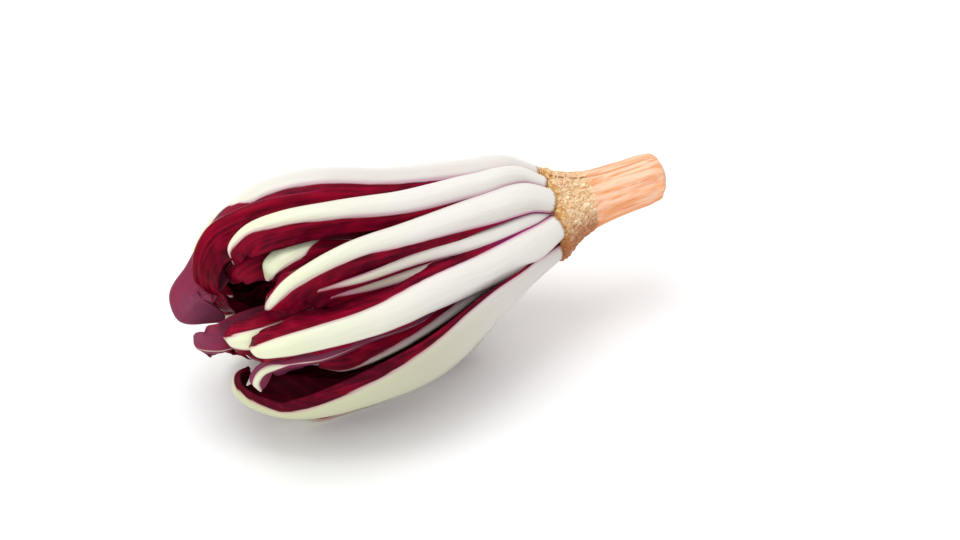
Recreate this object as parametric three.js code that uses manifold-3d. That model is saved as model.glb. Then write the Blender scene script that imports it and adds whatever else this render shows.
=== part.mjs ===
// A late Treviso radicchio head: long pale ribs with wine-red blades, gathered on a trimmed taproot.
// Millimetres, +Z up. The head lies along X: the root points to +X and the leaf tips to -X.
import * as THREE from "three";
import { mergeVertices } from "three/addons/utils/BufferGeometryUtils.js";
import Module from "manifold-3d";

// ---- driving dimensions -------------------------------------------------------------------------
const COLLAR_X = 46.92;       // where the leaves leave the crown
const SHIFT_Y = 4.85;         // moves the whole head sideways, so that its box is centred

const ROOT_LENGTH = 42.0;     // collar to the cut root end
const BLADE_MM = 0.8;         // thinnest part of a blade
const GAP_MM = 0.3;           // clear distance kept between neighbouring leaves
const STATIONS = 15;          // sections along a leaf that shows
const FEW_STATIONS = 12;      // sections along a leaf that hardly shows
const CELLS = 6;              // cells across a leaf
const BASE_S = 1.5;           // where the leaves start, measured from the collar
const EVEN = [1, 1, 1, 1];    // the same scale all along a leaf
const NO_ROLL = [0, 0, 0, 0];
const PLACES = [0, 0.25, 0.6, 1];       // where the scales of rib and blade are given
const ROLL_PLACES = [0, 0.35, 0.7, 1];  // where a leaf's turn about its own length is given
const FINE_POINTS = 600;      // points of a crest line before it is evened out
const LINE_POINTS = 400;      // evenly spaced points of a crest line
const FACE_OUT = 0.06;        // how fast a leaf turns back to face outwards, per point
const FACE_OUT_MIN = 6;       // closest to the spine that it still does so

// The head's spine droops from the raised collar to the belly: distance from the collar, sideways, height.
const SPINE_S = [0, 12, 28, 45, 60, 85, 120, 145];
const SPINE_Y = [0, 0.5, -0.6, -2.2, -2.8, -2.6, -3.4, -3];
const SPINE_Z = [45, 45.2, 43.4, 40, 38.2, 38.8, 39.6, 41];

// Outline radius of the whole head against the distance from the collar.
const BODY_S = [0, 10, 25, 40, 57, 80, 100, 115, 125, 135, 147];
const BODY_R = [17.4, 22.9, 28.3, 33.1, 38.5, 42.7, 42.3, 37.7, 32, 25, 10];

// Fractions of a leaf's length at which its section is given.
const KNOTS = [0, 0.12, 0.35, 0.65, 0.85, 1];

// Half widths of rib and blade (mm), how far the blade folds in (degrees) and the rib's thickness (mm).
const FORMS = {
  outer: {
    rib: [4.6, 6.0, 5.5, 3.9, 3.0, 1.3],
    blade: [0.5, 1.2, 5.0, 8.0, 7.0, 4.0],
    fold: [22, 40, 62, 75, 62, 40],
    thick: [5.0, 6.0, 5.6, 4.2, 2.8, 1.4],
  },
  middle: {
    rib: [3.6, 4.8, 4.6, 3.4, 2.6, 1.2],
    blade: [0.5, 1.2, 4.6, 7.5, 6.6, 4.0],
    fold: [22, 35, 60, 66, 56, 40],
    thick: [4.0, 4.4, 4.0, 3.0, 2.2, 1.3],
  },
  inner: {
    rib: [2.1, 3.4, 3.6, 2.9, 2.2, 1.0],
    blade: [0.4, 1.1, 4.2, 6.2, 5.2, 3.2],
    fold: [20, 35, 56, 58, 48, 36],
    thick: [2.3, 3.0, 3.0, 2.4, 1.8, 1.2],
  },
};
const CROWN_DEG = 16;         // slope of a rib's face at its edge
const FLARE_DEG = 18;         // how far a blade's margin turns back out
const FACE_SHARE = 0.62;      // share of the wall that lies outside the crest line's surface

const clamp = (x, a, b) => Math.min(Math.max(x, a), b);
const smooth = (a, b, x) => { const k = clamp((x - a) / (b - a), 0, 1); return k * k * (3 - 2 * k); };
const radians = (d) => (d * Math.PI) / 180;

/** Smooth curve through the knots (kt, kv), read at t. */
function curve(kt, kv, t) {
  const n = kt.length;
  const d = [];
  for (let i = 0; i < n - 1; i++) d.push((kv[i + 1] - kv[i]) / (kt[i + 1] - kt[i]));
  const slope = (i) => (i === 0 ? d[0] : i === n - 1 ? d[n - 2] : (d[i - 1] + d[i]) / 2);
  let i = 0;
  while (i < n - 2 && t >= kt[i + 1]) i++;
  const h = kt[i + 1] - kt[i];
  const x = clamp((t - kt[i]) / h, 0, 1);
  return kv[i] * (1 + 2 * x) * (1 - x) ** 2 + slope(i) * h * x * (1 - x) ** 2
    + kv[i + 1] * x * x * (3 - 2 * x) + slope(i + 1) * h * x * x * (x - 1);
}

const spineAt = (s) => [curve(SPINE_S, SPINE_Y, s), curve(SPINE_S, SPINE_Z, s)];
const bodyRadius = (s) => curve(BODY_S, BODY_R, Math.max(s, 0));

/**
 * Crest line of a leaf that lies `depth` mm under the head's outline and reaches `tip` mm from the collar.
 * `hook` folds the last part back in over the heart.
 */
function rulePath(depth, tip, bearing, hook = 0, twist = 0) {
  const out = [];
  for (const f of [0, 0.1, 0.25, 0.42, 0.6, 0.78, 0.9]) {
    const s = BASE_S + f * (tip - BASE_S);
    const d = depth * (0.25 + 0.75 * smooth(0, 0.3, f));
    out.push([s, bodyRadius(s) - 1 - d, bearing + twist * f]);
  }
  const r = bodyRadius(Math.min(tip, 140)) - 1 - depth;
  out.push([tip, r - 4 - 0.35 * hook, bearing + twist]);
  if (hook) {
    out.push([tip - 0.25 * hook, r - 4 - hook, bearing + twist]);
    out.push([tip - 0.8 * hook, r - 4 - 1.35 * hook, bearing + twist]);
  }
  return out;
}

// Crest lines: [distance from the collar, radius from the spine, bearing round it].
// Bearing 0 is up, 90 is towards -Y, 180 is down.
// lo and hi scale the blade on the side of the smaller and of the larger bearing.
const LEAVES = [
  {
    name: "leaf_keel", form: "outer",
    path: [
      [1.5, 17, 118], [12, 22.5, 115.5], [30, 31.5, 105.5], [57, 41, 104.5], [80, 44, 110],
      [100, 41.5, 120], [112, 37, 127], [122.5, 29.5, 127], [125, 24, 126], [123, 19, 125],
      [117.5, 17.5, 124],
    ],
    rib: [1.3, 2.35, 2.4, 1.9], lo: [0.3, 0.3, 0.55, 0.35], hi: [1, 1, 1.1, 2], roll: [0, -6, -12, -10],
  },
  {
    name: "leaf_flank", form: "outer",
    path: [
      [1.5, 17, 66], [12, 23, 73], [30, 29.5, 70.5], [57, 38, 62], [80, 42, 65.5], [100, 41, 66.5],
      [111, 38, 67.5], [118.5, 31, 71.5], [119, 23, 73.5],
    ],
    rib: [1, 1.05, 1.1, 1.1], lo: [0.6, 0.6, 1.2, 0.8], hi: [0.4, 0.4, 0.4, 0.6], roll: [0, 0, 6, 8],
  },
  {
    name: "leaf_front", form: "outer",
    path: [
      [1.5, 17, 31], [12, 23, 26.5], [30, 29.5, 26], [57, 38, 25], [80, 42, 29], [95, 41.5, 33.5],
      [105, 39, 38], [111.5, 32.5, 45.5], [111, 25, 47],
    ],
    rib: [0.95, 0.9, 0.75, 0.6], lo: [0.6, 0.6, 0.6, 0.6], hi: [0.5, 0.4, 1.6, 1.6], roll: [0, 6, 12, 12],
  },
  {
    name: "leaf_brow", form: "outer",
    path: [
      [1.5, 17, 3], [12, 23.5, -0.5], [30, 30, 4], [57, 38.5, 6], [80, 42, 6], [100, 41.5, 3],
      [111, 37, -1], [117, 30.5, 0], [116, 24, 2],
    ],
    rib: [0.55, 0.8, 0.9, 0.6], lo: [0.5, 0.5, 0.5, 0.5], hi: [0.8, 0.8, 0.75, 1.4],
  },
  {
    name: "leaf_crest", form: "outer",
    path: [
      [1.5, 18, -27.5], [12, 24, -27], [30, 29, -28], [55, 37.5, -28], [80, 43, -30], [99, 42, -33],
      [111, 37.5, -34], [120, 29.5, -40], [128.5, 20.5, -43], [136.5, 12, -44], [135.5, 2.5, -45],
      [121, -1, -44],
    ],
    rib: [0.95, 1.3, 1.4, 0.9], lo: [0.7, 0.7, 0.7, 0.7], hi: [1.2, 1.2, 1.3, 2.3],
  },
  {
    name: "leaf_rest", form: "outer", few: true,
    path: [
      [1.5, 17.5, 178], [12, 25, 179], [23, 35, 180], [32.5, 44, 180.5], [44, 43.5, 181], [62, 41.5, 180],
      [76, 41, 178.5], [90, 41, 177], [103, 39.5, 175], [111, 34, 174], [113.5, 26.5, 173],
    ],
    rib: [1.2, 2, 2, 1.4],
  },
  {
    name: "leaf_under", form: "outer", few: true, path: rulePath(-3.4, 121, 214, 6, -2),
    rib: [1.1, 1.15, 1.2, 1.1],
  },
  {
    name: "leaf_back", form: "outer", few: true, path: rulePath(0, 119, 250, 8, -3),
    rib: [1.1, 1.15, 1.2, 1.1],
  },
  {
    name: "leaf_nape", form: "outer", few: true, path: rulePath(0, 125, 294, 10, 2),
    rib: [1.05, 1.1, 1.1, 1],
  },
  {
    name: "leaf_curl", form: "middle",
    path: [
      [2, 12, -9], [14, 17, -10], [32, 23, -13], [55, 31, -17.5], [77, 37, -16.5], [98, 39.5, -15.5],
      [110, 38.5, -16], [120, 34.5, -18.5], [126, 26.5, -21.5], [128, 17.5, -24], [126, 9, -26],
      [120, 3, -28], [112, 1, -29],
    ],
    rib: [0.8, 0.7, 0.6, 0.6], lo: [0.5, 0.5, 0.7, 0.7],
    hi: [1.35, 1.35, 1.35, 1.9], roll: [0, 4, 10, 14],
  },
  {
    name: "leaf_slat", form: "middle", few: true,
    path: [
      [2, 12, 48.5], [14, 20, 49.5], [32, 26.5, 46.5], [57, 33.5, 40], [80, 37, 44], [98, 35, 44.5],
      [106, 31, 47],
    ],
    rib: [0.45, 0.6, 0.4, 0.15], lo: [0.35, 0.35, 0.35, 0.35], hi: [0.4, 0.4, 0.6, 0.9],
  },
  {
    name: "leaf_lath", form: "middle", few: true,
    path: [
      [2, 12, 60], [14, 18, 56], [32, 24, 51], [54.5, 30.5, 48], [76, 34, 49], [89, 33, 50], [97, 29, 51],
    ],
    rib: [0.7, 0.7, 0.5, 0.3], lo: [0.6, 0.6, 0.8, 0.8], hi: [0.6, 0.6, 0.8, 0.8],
  },
  {
    name: "leaf_streak", form: "middle", few: true,
    path: [
      [2, 12, 92], [14, 18, 90], [32, 24.5, 87], [59, 33, 86], [78, 36, 92], [90, 34, 98], [97, 29, 101],
    ],
    rib: [0.5, 0.4, 0.3, 0.3],
  },
  { name: "leaf_mid_a", form: "middle", few: true, path: rulePath(-2.4, 108, 154, 7) },
  { name: "leaf_mid_b", form: "middle", few: true, path: rulePath(8.5, 114, 192, 7) },
  { name: "leaf_mid_c", form: "middle", few: true, path: rulePath(8, 119, 229, 6) },
  { name: "leaf_mid_d", form: "middle", few: true, path: rulePath(8, 115, 271, 5) },
  { name: "leaf_mid_e", form: "middle", few: true, path: rulePath(8, 121, 317, 7) },
  {
    name: "leaf_fold", form: "inner", few: true,
    path: [
      [6, 9, 88], [20, 14.5, 86], [43.5, 24, 83], [61, 30, 81.5], [80, 31.5, 84], [97, 33, 86],
      [109, 31.5, 85], [116.5, 30.5, 88], [119, 30, 97], [117.5, 30, 107],
    ],
    rib: [0.8, 0.7, 0.7, 0.8], lo: [0.4, 0.4, 0.4, 0.4], hi: [0.8, 0.8, 1.6, 2.4],
  },
  {
    name: "leaf_roll", form: "inner", few: true,
    path: [
      [8, 6.5, 92], [30, 9, 94], [60, 12, 94], [90, 14, 92], [116, 13.5, 90], [126.5, 14.5, 90],
      [133.5, 10.5, 90], [133, 4.5, 90],
    ],
    rib: [1, 0.9, 0.8, 0.5], lo: [1, 1, 1.2, 1.8], hi: [1, 1, 1.4, 2.6],
  },
  {
    name: "leaf_wedge", form: "inner", few: true,
    path: [
      [8, 6.5, 56], [30, 12, 60], [60, 20, 65], [90, 25, 66], [109, 27, 67], [118, 26, 67],
      [124, 20.5, 69], [124.5, 14, 71],
    ],
    rib: [1, 1.1, 1.3, 1.8],
  },
  {
    name: "leaf_flag", form: "inner", few: true,
    path: [
      [8, 6.5, 20], [22, 12, 20], [45, 19, 17], [70, 26, 14], [90, 31, 12], [100, 31, 15],
      [106.5, 27, 19], [107, 21, 21],
    ],
    rib: [1, 1, 1.2, 2.3],
  },
  {
    name: "leaf_lapel", form: "inner", few: true,
    path: [
      [8, 6.5, -16], [20, 10, -10], [45, 15, -4], [78, 22, -0.5], [99, 27, -1], [110.5, 26.5, -2],
      [118, 21, -3], [117.5, 15, -5],
    ],
    rib: [0.8, 0.8, 0.7, 0.7], hi: [1.3, 1.3, 1.5, 1.9],
  },
];

// The innermost leaves stand out of a short solid core and share its node.
const HEART_LEAVES = [
  { form: "inner", few: true, path: rulePath(18, 102, 136, 4), rib: [1.2, 1.2, 1.2, 1.2] },
  { form: "inner", few: true, path: rulePath(18, 107, 188, 5), rib: [1.2, 1.2, 1.2, 1.2] },
  { form: "inner", few: true, path: rulePath(18, 101, 238, 4), rib: [1.2, 1.2, 1.2, 1.2] },
  { form: "inner", few: true, path: rulePath(18, 106, 288, 5), rib: [1.2, 1.2, 1.2, 1.2] },
  { form: "inner", few: true, path: rulePath(18, 100, 332, 4), rib: [1.2, 1.2, 1.2, 1.2] },
];
const CORE_S = [3, 10, 25, 45, 65, 84, 95, 100];
const CORE_R = [3.2, 4, 6.2, 9, 11, 11, 7.5, 0];

// Root profile: distance past the collar, radius. The crown reaches back inside the leaf bases.
const ROOT_D = [-9.5, -7.5, -4.1, -3.9, -2.5, -0.5, 3, 8.5, 16, 28, 38, 41, ROOT_LENGTH];
const ROOT_R = [0, 3, 6.5, 11, 15.8, 16.8, 14.9, 12.1, 10.2, 9.2, 8.6, 7.4, 5.2];
const ROOT_RISE = 0.12;       // the root points a little up
const ROOT_SEGMENTS = 24;

/** Centre line, outward direction and sideways direction of a leaf, sampled evenly along its length. */
function spineOf(spec) {
  const form = FORMS[spec.form];
  const points = spec.path.map(([s, r, bearing]) => {
    const a = radians(bearing);
    const [y, z] = spineAt(s);
    return new THREE.Vector3(COLLAR_X - s, y - Math.sin(a) * r, z + Math.cos(a) * r);
  });
  const q = [0];
  for (let i = 1; i < points.length; i++) q.push(q[i - 1] + points[i].distanceTo(points[i - 1]));
  const axis = (k) => points.map((p) => p.getComponent(k));
  const fine = FINE_POINTS;
  const raw = [];
  for (let i = 0; i <= fine; i++) {
    const t = (q[q.length - 1] * i) / fine;
    raw.push(new THREE.Vector3(curve(q, axis(0), t), curve(q, axis(1), t), curve(q, axis(2), t)));
  }
  const arc = [0];
  for (let i = 1; i <= fine; i++) arc.push(arc[i - 1] + raw[i].distanceTo(raw[i - 1]));
  const length = arc[fine];
  const n = LINE_POINTS;
  const P = [];
  let j = 0;
  for (let i = 0; i <= n; i++) {
    const want = (length * i) / n;
    while (j < fine - 1 && arc[j + 1] < want) j++;
    P.push(raw[j].clone().lerp(raw[j + 1], clamp((want - arc[j]) / (arc[j + 1] - arc[j]), 0, 1)));
  }
  const T = P.map((_, i) => P[Math.min(i + 1, n)].clone().sub(P[Math.max(i - 1, 0)]).normalize());
  const radial = (p) => {
    const s = clamp(COLLAR_X - p.x, 0, SPINE_S[SPINE_S.length - 1]);
    const [y, z] = spineAt(s);
    return new THREE.Vector3(0, p.y - y, p.z - z);
  };
  const N = [];
  let normal = radial(P[0]);
  for (let i = 0; i <= n; i++) {
    normal = normal.clone().addScaledVector(T[i], -normal.dot(T[i])).normalize();
    const out = radial(P[i]);
    out.addScaledVector(T[i], -out.dot(T[i]));
    if (T[i].x < -0.55 && out.length() > FACE_OUT_MIN) {
      normal.multiplyScalar(1 - FACE_OUT).addScaledVector(out.normalize(), FACE_OUT).normalize();
    }
    N.push(normal);
  }
  const B = [];
  for (let i = 0; i <= n; i++) {
    const t = i / n;
    const side = T[i].clone().cross(N[i]);
    const roll = radians(curve(ROLL_PLACES, spec.roll ?? NO_ROLL, t));
    const turned = N[i].clone().multiplyScalar(Math.cos(roll)).addScaledVector(side, Math.sin(roll));
    B.push(side.multiplyScalar(Math.cos(roll)).addScaledVector(N[i], -Math.sin(roll)));
    N[i] = turned;
  }
  for (let i = 0; i <= n; i++) P[i].addScaledVector(N[i], -FACE_SHARE * curve(KNOTS, form.thick, i / n));
  return { form, P, N, B, length, n };
}

/** Sections bunch up towards the tip, where the leaf bends most. */
const stationAt = (i, count) => 1 - (1 - i / (count - 1)) ** 1.25;

/** Closed mesh of one leaf; `grow` swells it on every side. */
function leafMesh(spec, grow = 0) {
  const { form, P, N, B, n } = spineOf(spec);
  const stations = spec.few ? FEW_STATIONS : STATIONS;
  const at = (list, t) => {
    const x = clamp(t, 0, 1) * n;
    const i = Math.min(Math.floor(x), n - 1);
    return list[i].clone().lerp(list[i + 1], x - i);
  };
  const half = CELLS / 2;
  const outer = [];
  const inner = [];
  for (let i = 0; i < stations; i++) {
    const t = stationAt(i, stations);
    const p = at(P, t);
    const up = at(N, t).normalize();
    const side = at(B, t).normalize();
    const atEnd = i === 0 || i === stations - 1;
    if (grow && atEnd) p.addScaledVector(side.clone().cross(up).normalize(), i === 0 ? grow : -grow);
    const ribWidth = curve(KNOTS, form.rib, t) * curve(PLACES, spec.rib ?? EVEN, t);
    const cap = Math.sqrt(clamp(1 - clamp((t - 0.93) / 0.07, 0, 1) ** 2, 0.12, 1));
    const fold = radians(curve(KNOTS, form.fold, t));
    const thick = curve(KNOTS, form.thick, t);
    const crown = radians(CROWN_DEG);
    const flare = radians(FLARE_DEG);
    const row = new Array(CELLS + 1);
    for (const sign of [1, -1]) {
      const scale = (sign > 0 ? spec.lo : spec.hi) ?? EVEN;
      const bladeWidth = curve(KNOTS, form.blade, t) * curve(PLACES, scale, t);
      const width = (ribWidth + bladeWidth) * cap + grow;
      const rib = clamp(ribWidth / (ribWidth + bladeWidth), 0.05, 0.97);
      const turn = (u) => crown * clamp(u / rib, 0, 1)
        + (fold - crown) * smooth(-0.22, 0.22, u - rib)
        - flare * smooth(0.75, 1, u);
      let y = 0;
      let d = 0;
      const fineSteps = 24;
      for (let k = 0; k <= fineSteps; k++) {
        const u = k / fineSteps;
        const psi = turn(u);
        if (k > 0) {
          const before = turn((k - 1) / fineSteps);
          y += ((Math.cos(psi) + Math.cos(before)) / 2) * (width / fineSteps);
          d -= ((Math.sin(psi) + Math.sin(before)) / 2) * (width / fineSteps);
        }
        if (k % (fineSteps / half) !== 0) continue;
        const j = half + (sign * k * half) / fineSteps;
        const face = side.clone().multiplyScalar(sign * Math.sin(psi)).addScaledVector(up, Math.cos(psi));
        const bulge = Math.sqrt(clamp(1 - (u / rib) ** 2, 0, 1)) ** 1.3;
        const wall = BLADE_MM + (thick - BLADE_MM) * bulge;
        const m = p.clone().addScaledVector(side, sign * y).addScaledVector(up, d);
        row[j] = { m, face, wall };
      }
    }
    const facing = (share, out) =>
      row.map(({ m, face, wall }) => m.clone().addScaledVector(face, share * wall + out));
    outer.push(facing(FACE_SHARE, grow));
    inner.push(facing(FACE_SHARE - 1, -grow));
    for (const q of outer[i]) q.z = Math.max(q.z, grow ? -grow : 0);
    for (const q of inner[i]) q.z = Math.max(q.z, BLADE_MM + grow);
  }
  const positions = [];
  const cols = CELLS + 1;
  const put = (rows) => rows.forEach((row) => row.forEach((q) => positions.push(q.x, q.y + SHIFT_Y, q.z)));
  put(outer);
  put(inner);
  const O = (i, j) => i * cols + j;
  const I = (i, j) => stations * cols + i * cols + j;
  const index = [];
  const quad = (a, b, c, d) => index.push(a, b, c, a, c, d);
  for (let i = 0; i < stations - 1; i++) {
    for (let j = 0; j < CELLS; j++) {
      quad(O(i, j), O(i, j + 1), O(i + 1, j + 1), O(i + 1, j));
      index.push(I(i, j), I(i + 1, j + 1), I(i, j + 1), I(i, j), I(i + 1, j), I(i + 1, j + 1));
    }
    quad(O(i, 0), O(i + 1, 0), I(i + 1, 0), I(i, 0));
    quad(O(i, CELLS), I(i, CELLS), I(i + 1, CELLS), O(i + 1, CELLS));
  }
  for (let j = 0; j < CELLS; j++) {
    quad(O(0, j), I(0, j), I(0, j + 1), O(0, j + 1));
    quad(O(stations - 1, j), O(stations - 1, j + 1), I(stations - 1, j + 1), I(stations - 1, j));
  }
  return { positions, index };
}

/** Round body about a line: rows of rings, closed at both ends with a point. `wobble` shapes each ring. */
function turned(rows, segments) {
  const positions = [];
  const index = [];
  const last = rows.length - 1;
  const ring = [];
  rows.forEach((row, i) => {
    ring.push(positions.length / 3);
    if (i === 0 || i === last) { positions.push(row.x, row.y + SHIFT_Y, row.z); return; }
    for (let k = 0; k < segments; k++) {
      const a = (2 * Math.PI * k) / segments;
      const r = row.r * (1 + (row.wobble ? row.wobble(a) : 0));
      positions.push(row.x, row.y - Math.sin(a) * r + SHIFT_Y, row.z + Math.cos(a) * r);
    }
  });
  for (let i = 0; i < last; i++) {
    for (let k = 0; k < segments; k++) {
      const n = (k + 1) % segments;
      if (i === 0) index.push(ring[0], ring[1] + k, ring[1] + n);
      else if (i === last - 1) index.push(ring[i] + k, ring[last], ring[i] + n);
      else {
        index.push(ring[i] + k, ring[i + 1] + k, ring[i + 1] + n);
        index.push(ring[i] + k, ring[i + 1] + n, ring[i] + n);
      }
    }
  }
  return { positions, index };
}

/** Trimmed root with its crown: slightly lobed, shaved flat in a few strips, cut square at the end. */
function rootMesh(grow = 0) {
  const rows = [];
  const place = (d, r, shape) => rows.push({
    x: COLLAR_X + d, y: 0, z: curve(SPINE_S, SPINE_Z, 0) + ROOT_RISE * Math.max(d, 0), r: r + (r ? grow : 0),
    wobble: (a) => shape * (0.035 * Math.cos(3 * a + 0.6) + 0.02 * Math.cos(7 * a + d * 0.05)),
  });
  ROOT_D.forEach((d, i) => place(d + (i === 0 ? -grow : 0), ROOT_R[i], d > 1 ? 1 : 0));
  place(ROOT_LENGTH + 0.6 + grow, 0, 0);
  return turned(rows, ROOT_SEGMENTS);
}

function coreMesh() {
  const rows = CORE_S.map((s, i) => {
    const [y, z] = spineAt(s);
    return { x: COLLAR_X - s, y, z, r: CORE_R[i] };
  }).reverse();
  const first = rows[rows.length - 1];
  rows.push({ ...first, x: first.x + 0.5, r: 0 });
  return turned(rows, 12);
}

// ---- solids ---------------------------------------------------------------------------------------
const wasm = await Module();
wasm.setup();

/** Signed volume of an indexed mesh. */
function volumeOf(positions, index) {
  let v = 0;
  for (let i = 0; i < index.length; i += 3) {
    const [a, b, c] = [index[i] * 3, index[i + 1] * 3, index[i + 2] * 3];
    v += positions[a] * (positions[b + 1] * positions[c + 2] - positions[b + 2] * positions[c + 1])
      + positions[a + 1] * (positions[b + 2] * positions[c] - positions[b] * positions[c + 2])
      + positions[a + 2] * (positions[b] * positions[c + 1] - positions[b + 1] * positions[c]);
  }
  return v / 6;
}

function solidOf({ positions, index }) {
  const flip = volumeOf(positions, index) < 0;
  const tri = new Uint32Array(index.length);
  for (let i = 0; i < index.length; i += 3) {
    tri[i] = index[i];
    tri[i + 1] = flip ? index[i + 2] : index[i + 1];
    tri[i + 2] = flip ? index[i + 1] : index[i + 2];
  }
  const mesh = new wasm.Mesh({ numProp: 3, vertProperties: new Float32Array(positions), triVerts: tri });
  return new wasm.Manifold(mesh);
}

/** The largest closed body of a solid, welded: loose scraps are dropped. */
function mainBody(solid) {
  const mesh = solid.getMesh();
  const positions = [];
  const step = mesh.numProp;
  for (let i = 0; i < mesh.vertProperties.length; i += step) {
    positions.push(...mesh.vertProperties.slice(i, i + 3));
  }
  let geometry = new THREE.BufferGeometry();
  geometry.setAttribute("position", new THREE.Float32BufferAttribute(positions, 3));
  geometry.setIndex(Array.from(mesh.triVerts));
  geometry = mergeVertices(geometry, 1e-4);
  const index = Array.from(geometry.index.array);
  const xyz = geometry.attributes.position.array;
  const parent = Array.from({ length: xyz.length / 3 }, (_, i) => i);
  const find = (i) => { while (parent[i] !== i) { parent[i] = parent[parent[i]]; i = parent[i]; } return i; };
  for (let i = 0; i < index.length; i += 3) {
    parent[find(index[i])] = find(index[i + 1]);
    parent[find(index[i + 1])] = find(index[i + 2]);
  }
  const groups = new Map();
  for (let i = 0; i < index.length; i += 3) {
    const [a, b, c] = [index[i], index[i + 1], index[i + 2]];
    if (a === b || b === c || a === c) continue;
    const key = find(a);
    if (!groups.has(key)) groups.set(key, []);
    groups.get(key).push(a, b, c);
  }
  let best = null;
  for (const tri of groups.values()) {
    const v = volumeOf(xyz, tri);
    if (!best || v > best.v) best = { v, tri };
  }
  const used = new Map();
  const kept = [];
  const tri = best.tri.map((i) => {
    if (!used.has(i)) { used.set(i, kept.length / 3); kept.push(xyz[i * 3], xyz[i * 3 + 1], xyz[i * 3 + 2]); }
    return used.get(i);
  });
  return { positions: kept, index: tri };
}

function geometryOf({ positions, index }) {
  const geometry = new THREE.BufferGeometry();
  geometry.setAttribute("position", new THREE.Float32BufferAttribute(positions, 3));
  geometry.setIndex(index);
  geometry.computeVertexNormals();
  return geometry;
}

const boxOf = ({ positions }) => new THREE.Box3().setFromArray(positions);

const head = new THREE.Group();
head.name = "radicchio_head";

const WINE = { color: 0x6e1028, roughness: 0.38, metalness: 0 };
const ROOT = { color: 0xc98a55, roughness: 0.85, metalness: 0 };

function addNode(name, mesh, look) {
  const node = new THREE.Mesh(geometryOf(mesh), new THREE.MeshStandardMaterial(look));
  node.name = name;
  head.add(node);
}

// Every piece keeps clear of the ones before it: the root first, then the leaves from the outside in.
const swollen = [];
function keepClear(mesh) {
  let solid = solidOf(mesh);
  const box = boxOf(mesh);
  for (const other of swollen) if (box.intersectsBox(other.box)) solid = solid.subtract(other.solid);
  return solid;
}
function remember(mesh) { swollen.push({ solid: solidOf(mesh), box: boxOf(mesh) }); }

const root = rootMesh();
addNode("taproot", mainBody(solidOf(root)), ROOT);
remember(rootMesh(GAP_MM));
for (const spec of LEAVES) {
  addNode(spec.name, mainBody(keepClear(leafMesh(spec))), WINE);
  remember(leafMesh(spec, GAP_MM));
}
let heart = solidOf(coreMesh());
for (const spec of HEART_LEAVES) heart = heart.add(solidOf(leafMesh(spec)));
for (const other of swollen) heart = heart.subtract(other.solid);
addNode("heart", mainBody(heart), WINE);

export default head;
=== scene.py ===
"""A late radicchio head on its side: long pale ribs with wine-red blades on a trimmed taproot.

The head lies along X: the root points to +X, the leaf tips to -X, and +Z is up.
Sizes inside the classes are in millimetres, and a mesh becomes metres as it is made.
"""

import logging
import math
from dataclasses import dataclass
from enum import Enum
from typing import Any, Mapping, Optional, Sequence, Union

import bpy
import numpy as np
from bpy.types import Material, Node, NodeSocket, NodeTree, Object
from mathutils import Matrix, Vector


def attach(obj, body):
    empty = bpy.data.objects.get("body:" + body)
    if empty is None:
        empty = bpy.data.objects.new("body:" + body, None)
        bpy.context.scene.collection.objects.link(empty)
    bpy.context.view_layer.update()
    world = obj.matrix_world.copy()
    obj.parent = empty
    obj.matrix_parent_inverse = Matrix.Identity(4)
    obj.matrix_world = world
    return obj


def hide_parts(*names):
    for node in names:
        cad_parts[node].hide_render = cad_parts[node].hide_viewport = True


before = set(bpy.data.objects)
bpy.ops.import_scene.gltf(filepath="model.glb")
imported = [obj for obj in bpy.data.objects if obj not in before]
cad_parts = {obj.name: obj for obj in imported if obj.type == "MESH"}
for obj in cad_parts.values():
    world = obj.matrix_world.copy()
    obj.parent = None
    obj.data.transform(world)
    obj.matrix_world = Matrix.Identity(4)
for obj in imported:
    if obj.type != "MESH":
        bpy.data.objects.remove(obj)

MM = 0.001
BODY = "root"
WELD = 2e-6
SQUARE = ((-1, -1), (1, -1), (1, 1), (-1, 1))
POINT_NUMBER = {"data_type": "FLOAT", "domain": "POINT"}
POINT_VECTOR = {"data_type": "FLOAT_VECTOR", "domain": "POINT"}
Colour = tuple[float, float, float]
Row = tuple[float, ...]
Scale = Union[float, Row]
Given = Optional[Mapping[Union[str, int], Any]]
log = logging.getLogger("radicchio")


# ---- numbers ----


def smooth(low: float, high: float, x: Any) -> Any:
    """Smooth step of x from 0 at low to 1 at high."""
    k = np.clip((np.asarray(x, float) - low) / (high - low), 0, 1)
    return k * k * (3 - 2 * k)


def curve(knots: Sequence[float], values: Any, t: Any) -> Any:
    """Smooth curve through knots.

    Args:
        knots: Rising places of the knots.
        values: The curve's value at each knot, or one value for them all.
        t: Places to read the curve at.

    Returns:
        The curve's values at t.
    """
    k, t = np.asarray(knots, float), np.asarray(t, float)
    v = np.broadcast_to(np.asarray(values, float), k.shape)
    steps = np.diff(v) / np.diff(k)
    slope = np.concatenate([steps[:1], (steps[:-1] + steps[1:]) / 2, steps[-1:]])
    i = np.clip(np.searchsorted(k, t, side="right") - 1, 0, len(k) - 2)
    h = k[i + 1] - k[i]
    x = np.clip((t - k[i]) / h, 0, 1)
    return (
        v[i] * (1 + 2 * x) * (1 - x) ** 2
        + slope[i] * h * x * (1 - x) ** 2
        + v[i + 1] * x * x * (3 - 2 * x)
        + slope[i + 1] * h * x * x * (x - 1)
    )


def arc_length(line: np.ndarray) -> np.ndarray:
    """Distance along a line at each of its points."""
    return np.concatenate([[0], np.cumsum(np.linalg.norm(np.diff(line, axis=0), axis=1))])


def resample(knots: np.ndarray, vectors: np.ndarray, t: np.ndarray) -> np.ndarray:
    """Vectors at t, read off by straight lines between knots."""
    return np.stack([np.interp(t, knots, vectors[:, k]) for k in range(3)], 1)


# ---- node trees ----


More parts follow.
